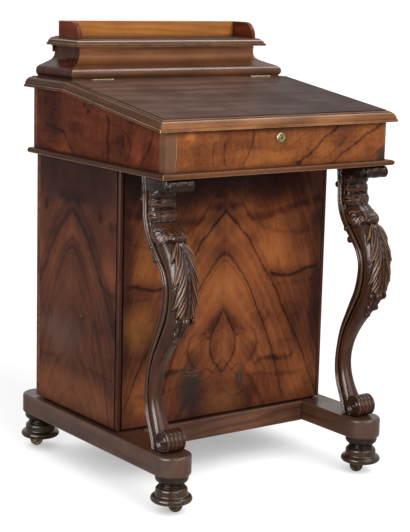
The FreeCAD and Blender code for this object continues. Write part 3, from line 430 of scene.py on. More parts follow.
# Quirks: distance from the panel and width, in millimetres, then strength and colour
lid_quirks = [(0.8, 1.6, 0.95, groove_line), (2.6, 0.6, 0.5, worn_and_highlight_line), (7.0, 1.7, 0.9, groove_line),
              (9.0, 0.8, 0.45, worn_and_highlight_line), (17.0, 0.9, 0.85, painted_edge_highlight)]
base_quirks = [(0.8, 1.5, 0.8, groove_line), (9.0, 1.0, 0.5, groove_line)]
board_quirks = [(0.6, 1.2, 0.8, groove_line), (12.5, 2.0, 0.8, groove_line), (16.8, 1.0, 0.9, painted_edge_highlight)]
cover_quirks = [(0.6, 1.2, 0.8, groove_line), (12.4, 1.0, 0.6, painted_edge_highlight), (14.4, 0.9, 0.7, groove_line),
                (16.8, 1.0, 0.9, painted_edge_highlight)]
lid_low, lid_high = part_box("slope_lid_panel")
box_low, box_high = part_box("box_front")
cover_low, cover_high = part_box("stationery_lid")
edge_projection = 18 * MM
board_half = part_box("top_board")[1].x - edge_projection
# Only the ends of the top board are moulded, so the line of its front is put far away, and the painted side
# shade then darkens the whole board
no_front = -10.0
bead_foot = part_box("box_base_moulding")[0].z
lid_edge = plain_walnut("lid_edge_walnut", "x", lid_edge_tones, wear=0.9, strip=(lid_high.x, lid_low.y),
                        quirks=lid_quirks, side_shade=0.68)
# The pale foot of the base moulding is a painted highlight on its lower arris
base_bead = plain_walnut("base_bead_walnut", "x", moulding_tones, wear=0.8, strip=(box_high.x, box_low.y),
                         quirks=base_quirks, side_shade=0.6,
                         fade=((0, 0, 1), bead_foot + 1.2 * MM, bead_foot + 2.6 * MM, worn_and_highlight_line, 0.5))
top_board_walnut = plain_walnut("top_board_walnut", "x", board_tones, strip=(board_half, no_front),
                                quirks=board_quirks, side_shade=0.5)
cover_walnut = plain_walnut("cover_walnut", "x", moulding_tones, specular=0.1, quirks=cover_quirks,
                            strip=(cover_high.x - edge_projection, cover_low.y + edge_projection),
                            side_shade=0.35)
dress(lid_edge, "slope_lid_moulding")
dress(base_bead, "box_base_moulding")
dress(top_board_walnut, "top_board")
dress(cover_walnut, "stationery_lid")
print("mouldings dressed")

# %% [markdown]
# Rails, runners, turned work and the unpolished linings have no such lines. Their grain runs along
# the length of each piece, as a maker cuts it. The worn slope has lost its gloss, and the runners
# still have theirs. Where one node holds two cuts of wood, its faces are sorted by place.

# %% Boards and turned work
slope_tones = srgb(58, 40, 34), srgb(96, 69, 58), srgb(115, 87, 74)
golden_tones = srgb(122, 74, 34), srgb(150, 94, 46), srgb(166, 108, 56)
red_tones = srgb(46, 18, 11), srgb(90, 40, 22), srgb(112, 53, 30)
runner_tones = srgb(34, 19, 14), srgb(72, 45, 33), srgb(98, 64, 46)
turned_tones = srgb(16, 9, 7), srgb(36, 21, 15), srgb(56, 34, 24)
bead_tones = srgb(32, 15, 11), srgb(64, 33, 24), srgb(84, 46, 32)
lining_tones = srgb(106, 68, 38), srgb(152, 106, 66), srgb(176, 130, 86)
runner_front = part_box("runner_left")[0].y
# The right and front part of the slope is painted darker and greyer: a painted reflection in its polish
slope_walnut = plain_walnut("slope_walnut", "x", slope_tones, roughness=0.44, specular=0.02, spacing=0.03,
                            wear=0.5, fade=((-0.76, 0.65, 0), -0.15, -0.06, srgb(46, 37, 38), 0.6))
gallery_walnut = plain_walnut("gallery_walnut", "x", golden_tones, spacing=0.012)
gallery_end_walnut = plain_walnut("gallery_end_walnut", "y", red_tones, specular=0.03, spacing=0.03)
# The front ends of the runners are painted greyer: a painted sheen
runner_walnut = plain_walnut("runner_walnut", "y", runner_tones, roughness=0.3, specular=0.2, wear=0.5,
                             fade=((0, 1, 0), runner_front + 0.02, runner_front + 0.09,
                                   srgb(72, 58, 47), 0.5))
stretcher_walnut = plain_walnut("stretcher_walnut", "x", runner_tones, roughness=0.3, specular=0.15,
                                wear=0.4)
turned_walnut = plain_walnut("turned_walnut", "z", turned_tones, roughness=0.22, coat=0.06, specular=0.16,
                             wear=0.5)
bead_walnut = plain_walnut("bead_walnut", "z", bead_tones, wear=0.5)
lining_x = plain_walnut("lining_wood_x", "x", lining_tones, roughness=0.6, wear=0.2)
lining_y = plain_walnut("lining_wood_y", "y", lining_tones, roughness=0.6, wear=0.2)
drawers = range(1, 5)
dress(slope_walnut, "slope_lid_panel")
dress(gallery_walnut, "gallery")
dress(runner_walnut, "runner_left", "runner_right")
dress(stretcher_walnut, "stretchers")
dress(turned_walnut, "bun_feet", *["drawer_%d_knobs" % number for number in drawers])
dress(bead_walnut, "corner_beads")
dress(lining_x, "drawer_runners", "box_bottom", "pigeonhole_nest")
dress(lining_x, *["drawer_%d_tray" % number for number in drawers])
dress(lining_y, "small_drawer_left", "small_drawer_right", "stationery_dividers")

gallery_mesh = nodes["gallery"].data
gallery_mesh.materials.append(gallery_end_walnut)
gallery_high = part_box("gallery")[1]
rail_thickness = 8.5 * MM
for face in gallery_mesh.polygons:
    before_rail = face.center.y < gallery_high.y - rail_thickness
    if before_rail or abs(face.center.x) > gallery_high.x - 0.5 * MM:
        face.material_index = 1
front_thickness = 9 * MM
behind_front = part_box("pigeonhole_nest")[0].y + front_thickness - 0.1 * MM
for name in ("small_drawer_left", "small_drawer_right"):
    mesh = nodes[name].data
    mesh.materials.append(board_walnut)
    for face in mesh.polygons:
        if face.center.y < behind_front:
            face.material_index = 1
print("boards and turned work dressed")

# %% [markdown]
# A panel of veneer is read as a list of what a cabinet maker would point at: arches, lines, darker
# or brighter wood, knots and stains. Each becomes a mask. Growth moves one value between dark and
# bright, and damage lays its own colour over it. A line could be painted, but a smooth curve through
# a few points stays sharp at any size, and its mask fades with the distance from it.

# %% Lines and spots
def weighed(wiring, start, *terms):
    """A start value, plus each mask or noise less its middle, times its weight."""
    total = start
    for value, middle, weight in terms:
        total = wiring.plus(total, wiring.times(wiring.less(value, middle), weight))
    return total


def spot_mask(wiring, place, middle, size):
    """Mask of an oval, with its middle and half sizes in millimetres."""
    return wiring.group(spot.tree, Vector=place, Centre=(middle[0] * MM, 0, middle[1] * MM),
                        Size=(size[0] * MM, 1.0, size[1] * MM))["Mask"]


def drawn_line(wiring, across, up, points, width):
    """Mask of a smooth line through points in millimetres, which run one way, across or up."""
    def rising(values):
        return all(first < second for first, second in zip(values, values[1:]))

    ways = []
    for way in (0, 1):
        ordered = sorted(points, key=lambda point: point[way])
        if rising([point[way] for point in ordered]) and ordered in (list(points), list(points)[::-1]):
            ways.append((ordered[-1][way] - ordered[0][way], way, ordered))
    length, way, ordered = max(ways)
    others = [point[1 - way] for point in ordered]
    low, low_other = ordered[0][way], min(others)
    height = max(max(others) - low_other, 1.0)
    value, other = (across, up) if way == 0 else (up, across)
    part = wiring.span(value, low * MM, (low + length) * MM, how="LINEAR")
    bend = wiring.curve(part, [((point[way] - low) / length, (point[1 - way] - low_other) / height)
                               for point in ordered])
    beside = wiring.apart(other, wiring.math("MULTIPLY_ADD", bend, height * MM, low_other * MM))
    beyond = wiring.apart(value, wiring.math("MULTIPLY_ADD", part, length * MM, low * MM))
    return wiring.span(wiring.plus(beside, beyond), width * MM, 0.0)


print("line and spot helpers ready")

# %% [markdown]
# The show surfaces carry figured veneer. Two leaves from one fork are laid edge to edge like an
# open book, so the whole figure is drawn on one leaf and folded over at the joint, and only knots,
# stains and scratches belong to one side. The fibre follows the arches. The place is bent by noise
# first, so no line is ruled, and a ramp turns the finished value into the tones of the wood.

# %% Figured veneer
growth_colour = srgb(34, 16, 13)
knot_colour = srgb(24, 13, 10)
stain_colour = srgb(40, 34, 30)
scratch_colour = srgb(150, 122, 92)
rubbed_veneer = srgb(176, 122, 76)


def figured_veneer(name, axis, joint, foot, tones, arches=(), lines=(), shades=(), marks=(), scratches=(),
                   folded=True, flow=None, swirl=0.0, wander=8.0, specular=0.05, shift=0.5):
    """Veneer drawn on one panel. The axis says which way lies across the panel, x or y."""
    material, wiring, shader = shader_with(name, coat=0.02, specular=specular)
    x, y, z = wiring.parts(wiring.own_place())
    across = wiring.less(x if axis == "x" else y, joint)
    up = wiring.less(z, foot)
    leaf = wiring.math("ABSOLUTE", across) if folded else across
    plain = wiring.vector(leaf, 0.0, up)
    sway = wiring.times(wiring.less(wiring.noise(plain, 13.0, 4.0), 0.5), wander * 4 * MM)
    lift = wiring.times(wiring.less(wiring.noise(plain, 60.0, 4.0), 0.5), wander * MM)
    bent_across = wiring.plus(leaf, lift)
    bent_up = wiring.plus(up, sway)
    place = wiring.vector(bent_across, 0.0, bent_up)
    level = bent_up
    if flow:
        level = wiring.group(arch.tree, Vector=place, Top=0.0, Spread=flow[0], Narrowing=flow[1],
                             Width=MM, Shade=MM)["Level"]
    along_arch = wiring.vector(level, 0.0, leaf)
    small = wiring.group(fibre.tree, Vector=along_arch)
    age = wiring.group(ageing.tree, Edge=1.5 * MM, Hollow=30 * MM)
    figure = wiring.noise(wiring.move("MULTIPLY", along_arch, (52, 1, 9)), 1.0, 6.0, 0.62)
    cloud = wiring.noise(place, 9.0, 5.0, 0.6)
    curl = wiring.noise(wiring.move("MULTIPLY", plain, (150, 1, 34)), 1.0, 3.0)
    broken = wiring.span(wiring.noise(plain, 70.0, 4.0), 0.32, 0.62, 0.6, 1.0)
    value = weighed(wiring, shift, (figure, 0.5, 0.34), (small["Streak"], 0.5, 0.18), (cloud, 0.5, 0.72),
                    (curl, 0.5, 0.2))
    if folded:
        value = weighed(wiring, value, (wiring.math("LESS_THAN", across, 0.0), 0.0, -0.05))
    if swirl:
        ring = wiring.math("FRACT", wiring.times(wiring.noise(plain, 15.0, 2.0), 13.0))
        value = weighed(wiring, value, (wiring.span(wiring.apart(ring, 0.5), 0.3, 0.0), 0.0, -swirl))
    for middle, size, strength in shades:
        value = weighed(wiring, value, (spot_mask(wiring, place, middle, size), 0.0, strength))
    for top, spread, narrowing, width, darkness, rise, above in arches:
        bow = wiring.group(arch.tree, Vector=place, Top=top * MM, Spread=spread, Narrowing=narrowing,
                           Width=width * MM, Shade=rise * MM)
        near = wiring.times(bow["Above"], wiring.span(bow["Level"], 2 * rise * MM, rise * MM))
        value = weighed(wiring, value, (near, 0.0, -above),
                        (wiring.times(bow["Line"], broken), 0.0, -darkness))
    for width, darkness, *points in lines:
        mask = wiring.times(drawn_line(wiring, bent_across, bent_up, points, width), broken)
        value = weighed(wiring, value, (mask, 0.0, -darkness))
    tone = wiring.ramp(value, [(0.0, growth_colour)] + [(0.22 + 0.78 * number / (len(tones) - 1), colour)
                                                        for number, colour in enumerate(tones)])
    real_across = wiring.plus(across, lift)
    real = wiring.vector(real_across, 0.0, bent_up)
    for middle, size, colour, strength in marks:
        mask = spot_mask(wiring, real, middle, size)
        mask = wiring.times(mask, wiring.span(cloud, 0.3, 0.6, 0.6, 1.0))
        tone = wiring.tint(tone, mask, strength, colour)
    for width, strength, colour, *points in scratches:
        mask = wiring.times(drawn_line(wiring, real_across, bent_up, points, width), broken)
        tone = wiring.tint(tone, mask, strength, colour)
    tone = wiring.tint(tone, small["Pore"], 0.4, growth_colour)
    tone = wiring.tint(tone, age["Wear"], 0.5, rubbed_veneer)
    # Wax and painted shade darken the hollows
    tone = wiring.tint(tone, age["WaxAndShade"], 0.6, wax_and_shade_colour)
    wiring.join(tone, shader.inputs["Base Color"])
    wiring.join(wiring.span(cloud, 0.3, 0.7, 0.26, 0.35), shader.inputs["Roughness"])
    add_bump(wiring, shader, small["Pore"], 0.04, -0.3)
    return material


print("figured veneer ready")

# %% [markdown]
# The front of the pedestal is the best leaf of the desk. A tall flame stands on the joint, with a
# bright field inside it. Painted shadow darkens the band under the box, black at the left top, and
# painted shade darkens both side edges. A knot, two stains and a few pale scratches are not
# mirrored. All places are in millimetres from the joint and from the foot.

# %% Front of the pedestal
front_tones = srgb(52, 25, 17), srgb(86, 46, 27), srgb(122, 69, 38), srgb(150, 90, 47), srgb(172, 108, 58)
panel_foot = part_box("pedestal_front")[0].z
front_joint = -5 * MM
# Arches: top, spread, narrowing, width of the line, its darkness, height of the shade, its strength
front_arches = [(393, 1.0, 2.8, 4, 0.34, 18, 0.08), (393, 1.0, 2.8, 14, 0.1, 10, 0.0),
                (314, 0.8, 8.5, 8, 0.34, 14, 0.05), (300, 0.8, 8.5, 4, 0.18, 8, 0.0)]
# Lines: width, darkness, then the points
front_lines = [
    (14, 0.2, (0, 400), (20, 403), (40, 399), (67, 379), (97, 381), (140, 387), (178, 400), (228, 404)),
    (6, 0.3, (112, 268), (136, 256), (157, 254), (183, 264), (228, 270)),
    (22, 0.1, (112, 262), (228, 262)),
    (9, 0.1, (70, 372), (110, 350), (150, 341), (205, 344)),
    (7, 0.08, (130, 238), (172, 240), (228, 246)),
    (5, 0.16, (27, 162), (36, 153), (45, 166), (54, 156)),
    (12, 0.1, (0, 208), (30, 168)),
    (5, 0.24, (0, 205), (13, 184), (26, 155), (30, 135), (24, 110), (10, 92), (1, 82)),
    (6, 0.17, (66, 166), (80, 148), (82, 128), (74, 108), (60, 97), (38, 95), (24, 86)),
    (8, 0.18, (84, 90), (112, 95), (140, 90), (172, 96)),
    (6, 0.1, (30, 78), (70, 66), (130, 62), (200, 58)),
    (6, 0.34, (0, 47), (14, 40), (28, 29), (52, 35)),
    (5, 0.12, (0, 20), (20, 10)),
    (1.0, 0.12, (0, 0), (0, 486))]
# Brighter or darker wood and painted shade: middle, half sizes, strength
# The bands along the top are painted shadow under the box; the band along both side edges is painted shade
front_shades_and_painted_shadow = [((0, 0), (300, 100), -0.22), ((0, 476), (300, 84), -0.36), ((0, 494), (300, 50), -0.45),
                ((150, 430), (120, 50), -0.18), ((45, 350), (40, 34), 0.12), ((108, 325), (66, 52), 0.14),
                ((28, 255), (50, 70), 0.14), ((0, 140), (22, 44), 0.12), ((50, 200), (30, 34), 0.08),
                ((200, 170), (60, 120), -0.1), ((124, 92), (28, 10), -0.13), ((62, 112), (34, 26), -0.1),
                ((238, 250), (36, 300), -0.28)]
# Knots, stains, patches and a painted shadow: middle, half sizes, colour, strength
# The first, near black patch at the left top is painted shadow under the box
front_marks_and_painted_shadow = [((-205, 492), (80, 110), srgb(12, 9, 9), 0.95),
               ((-226, 320), (24, 170), srgb(58, 31, 24), 0.6),
               ((-184, 326), (28, 70), srgb(148, 94, 46), 0.38),
               ((-15, 426), (16, 11), knot_colour, 0.7), ((-74, 62), (42, 66), stain_colour, 1.0),
               ((42, 66), (16, 26), stain_colour, 0.7), ((-196, 190), (50, 60), srgb(150, 94, 46), 0.45),
               ((0, 252), (64, 70), srgb(146, 92, 48), 0.3), ((0, 26), (70, 40), srgb(128, 82, 42), 0.35)]
# Scratches: width, strength, colour, then the points
front_scratches = [(0.9, 0.36, scratch_colour, (-98, 88), (-86, 93), (-76, 90), (-62, 92), (-46, 96)),
                   (0.9, 0.3, scratch_colour, (-92, 80), (-80, 85), (-70, 82), (-58, 84)),
                   (1.0, 0.35, scratch_colour, (40, 76), (43, 66), (42, 58))]
front_veneer = figured_veneer("front_veneer", "x", front_joint, panel_foot, front_tones, front_arches,
                              front_lines, front_shades_and_painted_shadow, front_marks_and_painted_shadow, front_scratches, flow=(1.0, 4.0))
dress(front_veneer, "pedestal_front")
print("front of the pedestal:", len(front_lines), "lines,", len(front_marks_and_painted_shadow), "marks")

# %% [markdown]
# The sides of the pedestal are matched in the same way. The blind side is redder and darker, and
# the drawer fronts share one tall figure with their frame, as drawers cut from one sheet do.

# %% Sides of the pedestal
side_tones = srgb(44, 22, 17), srgb(72, 38, 26), srgb(100, 56, 36), srgb(124, 72, 44), srgb(146, 90, 54)
side_joint, drawer_joint = 85 * MM, 70 * MM
side_arches = [(391, 0.75, 5.0, 15, 0.28, 26, 0.14), (322, 0.7, 13.0, 8, 0.22, 14, 0.08),
               (250, 0.8, 10.0, 4, 0.08, 8, 0.0), (46, 0.7, 6.0, 5, 0.12, 10, 0.0)]
side_lines = [(7, 0.15, (76, 186), (76, 136), (90, 110)), (9, 0.16, (100, 268), (140, 246), (165, 242)),
              (6, 0.12, (20, 108), (60, 98), (120, 88))]
side_shades = [((0, 470), (300, 100), -0.2), ((24, 418), (40, 16), -0.2), ((98, 392), (10, 16), -0.22),
               ((138, 372), (22, 16), -0.15), ((0, 350), (30, 22), 0.1), ((130, 290), (40, 60), 0.1),
               ((0, 250), (50, 60), 0.05), ((60, 40), (120, 46), 0.2)]
# The grey patch 150 mm up is a painted reflection in the polish
side_marks_and_painted_reflection = [((0, 476), (300, 80), srgb(50, 22, 16), 0.5), ((-38, 192), (9, 8), knot_colour, 0.8),
              ((40, 150), (110, 60), srgb(96, 76, 68), 0.5), ((0, 30), (160, 60), srgb(112, 70, 40), 0.3)]
side_scratches = [(2.2, 0.6, srgb(150, 140, 128), (-36, 194), (-31, 196))]
side_veneer = figured_veneer("side_veneer", "y", side_joint, panel_foot, side_tones, side_arches,
                             side_lines, side_shades, side_marks_and_painted_reflection, side_scratches, flow=(0.75, 7.0),
                             specular=0.04)
drawer_arches = [(393, 1.0, 2.8, 4, 0.3, 18, 0.08), (318, 1.0, 5.0, 7, 0.25, 12, 0.05),
                 (205, 1.3, 6.0, 5, 0.3, 14, 0.05), (90, 1.2, 5.0, 5, 0.3, 14, 0.05)]
drawer_veneer = figured_veneer("drawer_veneer", "y", drawer_joint, panel_foot, front_tones, drawer_arches,
                               flow=(1.0, 4.0), wander=14.0)
dress(side_veneer, "pedestal_left")
dress(drawer_veneer, "drawer_frame", *["drawer_%d_front" % number for number in drawers])
print("sides of the pedestal:", len(side_arches), "and", len(drawer_arches), "arches")

# %% [markdown]
# The writing box is veneered in single leaves, so nothing is folded. Dark lines slant over its
# front and sides, and a small swirl runs between them. At the left end of the front, a strip of
# greyer wood lies beside a scribed line.

# %% Writing box
box_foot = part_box("box_front")[0].z
box_tones = srgb(62, 32, 20), srgb(98, 54, 30), srgb(132, 77, 39), srgb(156, 95, 48), srgb(176, 112, 58)
box_lines = [
    (5, 0.27, (134, 80), (100, 55), (72, 34), (45, 16)),
    (5, 0.26, (240, 78), (186, 52), (150, 34), (118, 15)),
    (4, 0.19, (-62, 76), (-70, 42), (-86, 18)), (4, 0.15, (-146, 60), (-152, 36), (-144, 16)),
    (4, 0.15, (-116, 66), (-128, 40), (-120, 14)), (4, 0.19, (250, 46), (222, 20)),
    (3, 0.12, (60, 70), (20, 48)), (3, 0.12, (180, 76), (140, 50), (96, 18))]
box_shades = [((-200, 44), (60, 60), -0.05), ((160, 40), (120, 60), -0.08), ((-40, 28), (90, 22), 0.14),
              ((100, 46), (40, 30), 0.1), ((42, 14), (10, 6), -0.25), ((250, 16), (26, 34), -0.3),
              ((0, 84), (280, 14), -0.14), ((-200, 76), (18, 8), 0.25)]
box_marks = [((-243, 45), (20, 90), srgb(86, 70, 58), 0.75), ((0, 64), (22, 20), srgb(58, 36, 24), 0.6),
             ((244, 20), (14, 26), srgb(62, 58, 54), 0.5)]
box_scratches = [(0.9, 0.8, scratch_colour, (-229, 74), (-230, 12)),
                 (0.9, 0.6, scratch_colour, (-229, 12), (-250, 10)),
                 (0.8, 0.4, srgb(30, 16, 12), (-227, 80), (-228, 10))]
box_veneer = figured_veneer("box_veneer", "x", 0.0, box_foot, box_tones, (), box_lines, box_shades,
                            box_marks, box_scratches, folded=False, swirl=0.04)
box_side_tones = srgb(52, 22, 13), srgb(86, 40, 22), srgb(118, 58, 30), srgb(142, 72, 36), srgb(164, 90, 46)
box_side_lines = [
    (7, 0.28, (-44, 92), (-50, 72), (-46, 50), (-50, 34), (-42, 8)),
    (5, 0.31, (170, 62), (114, 52), (88, 32), (66, 10)), (7, 0.19, (-196, 84), (-176, 46), (-150, 12)),
    (5, 0.19, (-60, 84), (-100, 70), (-122, 44), (-108, 20)), (4, 0.15, (-74, 70), (-98, 52), (-90, 30))]
box_side_shades = [((-140, 40), (30, 40), 0.16), ((-90, 44), (26, 26), -0.1), ((60, 62), (46, 18), -0.14),
                   ((22, 97), (8, 5), -0.3), ((34, 108), (7, 6), -0.3), ((170, 60), (80, 140), -0.16),
                   ((120, 22), (50, 12), 0.15)]
box_side_veneer = figured_veneer("box_side_veneer", "y", 0.0, box_foot, box_side_tones, (), box_side_lines,
                                 box_side_shades, folded=False, swirl=0.05, specular=0.025, shift=0.45)
dress(box_veneer, "box_front")
dress(box_side_veneer, "box_left_side", "box_right_side")
print("writing box:", len(box_lines), "and", len(box_side_lines), "lines")

# %% [markdown]
# The ogee of the stationery box is too strongly curved for a drawn figure. It is long-grained
# walnut with a high polish, bright near the lid and painted darker towards its foot, a painted
# shade on the lower bulge, and its ends are darker.

# %% Stationery box
ogee_low, ogee_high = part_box("stationery_front")
ogee_tones = srgb(66, 35, 21), srgb(146, 90, 50), srgb(180, 114, 64)
ogee_end_tones = srgb(26, 12, 8), srgb(62, 30, 19), srgb(86, 44, 27)
# Painted shade: the ogee darkens towards its foot
ogee_walnut = plain_walnut("ogee_walnut", "x", ogee_tones, roughness=0.24, coat=0.0, specular=0.2,
                           spacing=0.03, wax_and_shade=0.25, strip=(ogee_high.x, ogee_low.y),
                           fade=((0, 0, 1), ogee_low.z + 22 * MM, ogee_low.z + 60 * MM,
                                 srgb(46, 29, 24), 0.75))
ogee_end_walnut = plain_walnut("ogee_end_walnut", "z", ogee_end_tones, roughness=0.3, specular=0.05,
                               spacing=0.03, wax_and_shade=0.5)
dress(ogee_walnut, "stationery_front")
dress(ogee_end_walnut, "stationery_ends")
print("stationery box dressed")

# %% [markdown]
# The fittings are brass that has gone dull and brown in its hollows, and the lock is dark iron.
# Metal takes its colour from what it mirrors, so clouds of tarnish change both its colour and its
# roughness, and a fine bump breaks up the highlights.

# %% Metals
grime_colour = srgb(40, 28, 16)


def old_metal(name, bright, dull, roughness, spots):
    material, wiring, shader = shader_with(name, specular=0.5)
    shader.inputs["Metallic"].default_value = 1.0
    cloud = wiring.noise(wiring.own_place(), 160.0, 4.0, 0.65)
    age = wiring.group(ageing.tree, Edge=0.5 * MM, Hollow=6 * MM)
    tone = wiring.blend(wiring.span(cloud, 0.4, 0.65, 0.0, spots), bright, dull)
    tone = wiring.tint(tone, age["WaxAndShade"], 0.8, grime_colour)
    wiring.join(tone, shader.inputs["Base Color"])
    wiring.join(wiring.span(cloud, 0.35, 0.7, roughness, roughness + 0.2), shader.inputs["Roughness"])
    add_bump(wiring, shader, cloud, 0.05, 0.3)
    return material


brass = old_metal("aged_brass", srgb(160, 148, 108), srgb(84, 72, 48), 0.3, 0.9)
hinge_brass = old_metal("hinge_brass", srgb(108, 96, 76), srgb(66, 56, 44), 0.42, 0.9)
castor_brass = old_metal("castor_brass", srgb(82, 70, 52), srgb(40, 32, 26), 0.38, 0.9)
iron = old_metal("lock_iron", srgb(120, 114, 106), srgb(64, 56, 48), 0.42, 0.8)
corners = ("front_left", "front_right", "rear_left", "rear_right")
dress(brass, "keyhole_escutcheon")
dress(hinge_brass, "hinge_fixed_leaves", "hinge_pins")
dress(hinge_brass, "slope_hinge_moving_leaves", "cover_hinge_moving_leaves")
dress(castor_brass, "castor_sockets", *["castor_horn_" + corner for corner in corners])
dress(castor_brass, *["castor_wheel_" + corner for corner in corners])
dress(iron, "lock_case", "lock_bolt", "lock_strike")
print("metals dressed")

# %% [markdown]
# No board leaves a workshop with a razor edge. The frame's meshes keep their points, so a
# modifier rounds them: the weld joins the split points of the import, and the bevel then turns
# each hard edge into a narrow round that catches the light.

# %% Softened edges
def soften(name, width):
    weld = nodes[name].modifiers.new("weld", "WELD")
    weld.merge_threshold = 0.01 * MM
    bevel = nodes[name].modifiers.new("softened", "BEVEL")
    bevel.width = width
    bevel.segments = 2
    bevel.limit_method = "ANGLE"
    bevel.angle_limit = math.radians(40)


crisp = ["pedestal_front", "pedestal_left", "pedestal_back", "box_front", "box_left_side", "box_right_side",
         "box_back", "drawer_frame", "stationery_dividers"]
crisp += ["drawer_%d_%s" % (number, part) for number in drawers for part in ("front", "tray")]
for name in crisp:
    soften(name, 0.7 * MM)
print("softened", len(crisp), "nodes")

# %% [markdown]
# The desk stands on four turned feet. On the lathe each got a collar under the runner, three fine
# rings in a short neck, a bell with a round shoulder and a wide round flange low down. The solid
# keeps the plain form, so the rings are turned here. A turner works to a template, and so does
# this cell: arcs are joined to one outline of radii and heights, from the top to the bore.

# %% Outline of a foot
def turned_arc(middle, sizes, start, end, steps=9):
    """Points of an arc in the outline of a turned piece, from angle to angle, in degrees."""
    angles = np.radians(np.linspace(start, end, steps))
    return [(middle[0] + sizes[0] * math.cos(angle), middle[1] + sizes[1] * math.sin(angle))
            for angle in angles]


feet_low, feet_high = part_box("bun_feet")
foot_head, socket_head = feet_high.z / MM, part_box("castor_sockets")[1].z / MM
axis_radius = 0.5
collar_radius, collar_foot, neck_radius, neck_height = 30.5, 66.5, 19.5, 57.0
shoulder_radius, shoulder_foot, shoulder_round = 29.2, 44.2, 5.2
cove_radius, cove_middle = 3.2, 36.8
flange_radius, flange_middle, flange_round = 38.0, 27.6, 6.2
recess_radius, recess_head, socket_radius = 23.0, 37.0, 7.2
foot_outline = [(axis_radius, foot_head), (collar_radius, foot_head)]
foot_outline += turned_arc((neck_radius, collar_foot),
                           (collar_radius - neck_radius, collar_foot - neck_height), 0, -84)
for beyond_neck, ring_height in ((0.6, 55.4), (2.4, 53.0), (4.2, 50.6)):
    foot_outline += turned_arc((neck_radius + beyond_neck, ring_height), (1.2, 1.0), 80, -60, 7)
foot_outline += turned_arc((shoulder_radius - shoulder_round, shoulder_foot),
                           (shoulder_round, shoulder_round), 78, 0)
foot_outline += turned_arc((shoulder_radius + 0.4 + cove_radius, cove_middle),
                           (cove_radius, cove_radius), 180, 255)
foot_outline += turned_arc((flange_radius - flange_round, flange_middle),
                           (flange_round, flange_round), 84, -80, 13)
foot_outline += [(recess_radius, flange_middle - flange_round), (recess_radius, recess_head),
                 (socket_radius, recess_head), (socket_radius, socket_head), (axis_radius, socket_head)]
print("foot outline", len(foot_outline), "points")

# %% [markdown]
# The outline is spun round the post of each castor. A screw modifier could spin it, but the four
# feet are one piece of the frame, so their rings of points are written into one mesh. The polish
# is that of the other turned work. From the lowest ring up, painted shade darkens it under the runner.

# %% Turned feet
foot_turns = np.linspace(0, 2 * math.pi, 72, endpoint=False)
around = len(foot_turns)
foot_points, foot_faces = [], []
for foot_x in (feet_low.x / MM + flange_radius, feet_high.x / MM - flange_radius):
    for foot_y in (feet_low.y / MM + flange_radius, feet_high.y / MM - flange_radius):
        start = len(foot_points)
        for radius, height in foot_outline:
            foot_points += [((foot_x + radius * math.cos(turn)) * MM,
                             (foot_y + radius * math.sin(turn)) * MM, height * MM) for turn in foot_turns]
        for row in range(len(foot_outline) - 1):
            upper, lower = start + row * around, start + (row + 1) * around
            for column in range(around):
                beside = (column + 1) % around
                foot_faces.append((upper + beside, upper + column, lower + column, lower + beside))
        foot_faces.append(tuple(range(start, start + around)))
        last = start + (len(foot_outline) - 1) * around
        foot_faces.append(tuple(reversed(range(last, last + around))))
feet_mesh = bpy.data.meshes.new("turned_feet")
feet_mesh.from_pydata(foot_points, [], foot_faces)
feet_mesh.polygons.foreach_set("use_smooth", [True] * len(feet_mesh.polygons))
feet_mesh.set_sharp_from_angle(angle=math.radians(35))
feet_mesh.validate()
feet_mesh.update()
foot_tones = srgb(20, 13, 9), srgb(48, 33, 22), srgb(76, 53, 35)
# Painted shade under the runner, from the lowest ring up
foot_walnut = plain_walnut("foot_walnut", "z", foot_tones, roughness=0.2, coat=0.06, specular=0.18,
                           wear=0.8, fade=((0, 0, 1), 50 * MM, 47 * MM, srgb(18, 12, 9), 0.7))
feet_mesh.materials.append(foot_walnut)
feet = bpy.data.objects.new("turned_feet", feet_mesh)
scene.collection.objects.link(feet)
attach(feet, "desk")
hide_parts("bun_feet")
print("turned feet", len(feet_mesh.vertices), "points")

# %% [markdown]
# The scroll legs are the show of the carver's skill. Sculpting by hand would not repeat, and a
# texture would leave the outline smooth, so the leg is a skin over numbered sections: each has a
# back and a front point, and a half width. The skin is a grid of rows down the leg and columns
# round it, and the carving then lifts or sinks each point along its own normal.

# %% Leg skin
runner_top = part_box("runner_left")[1].z / MM
box_front_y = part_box("box_front")[0].y / MM
leg_x = (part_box("leg_right")[0].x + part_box("leg_right")[1].x) / 2
leg_height = 489
# Millimetres: back setback and height, front setback and height, half width
leg_sections = np.array([
    (75, leg_height, 31, leg_height, 27), (73, 464, 31, 467, 26), (71, 439, 34, 442, 25.5),
    (69, 414, 31, 421, 26),
    (61, 391, 20, 402, 27), (45, 368, -4, 382, 28), (27, 349, -25, 357, 28.5), (9, 327, -36, 331, 28.5),
    (1, 303, -39.5, 303, 28), (3, 281, -39, 277, 27), (12, 251, -33, 249, 25), (25, 227, -15, 220, 22.5),
    (39, 201, 6, 192, 20), (54, 170, 27, 164, 18), (64, 137, 42, 134, 16), (70, 101, 47, 101, 14.5),
    (69, 75, 43, 77, 14.5), (62, 52, 34, 55, 15.5), (50, 31, 24, 37, 17.5), (41, 11, 15, 24, 19),
    (37, 0, 9, 0, 20)], float)


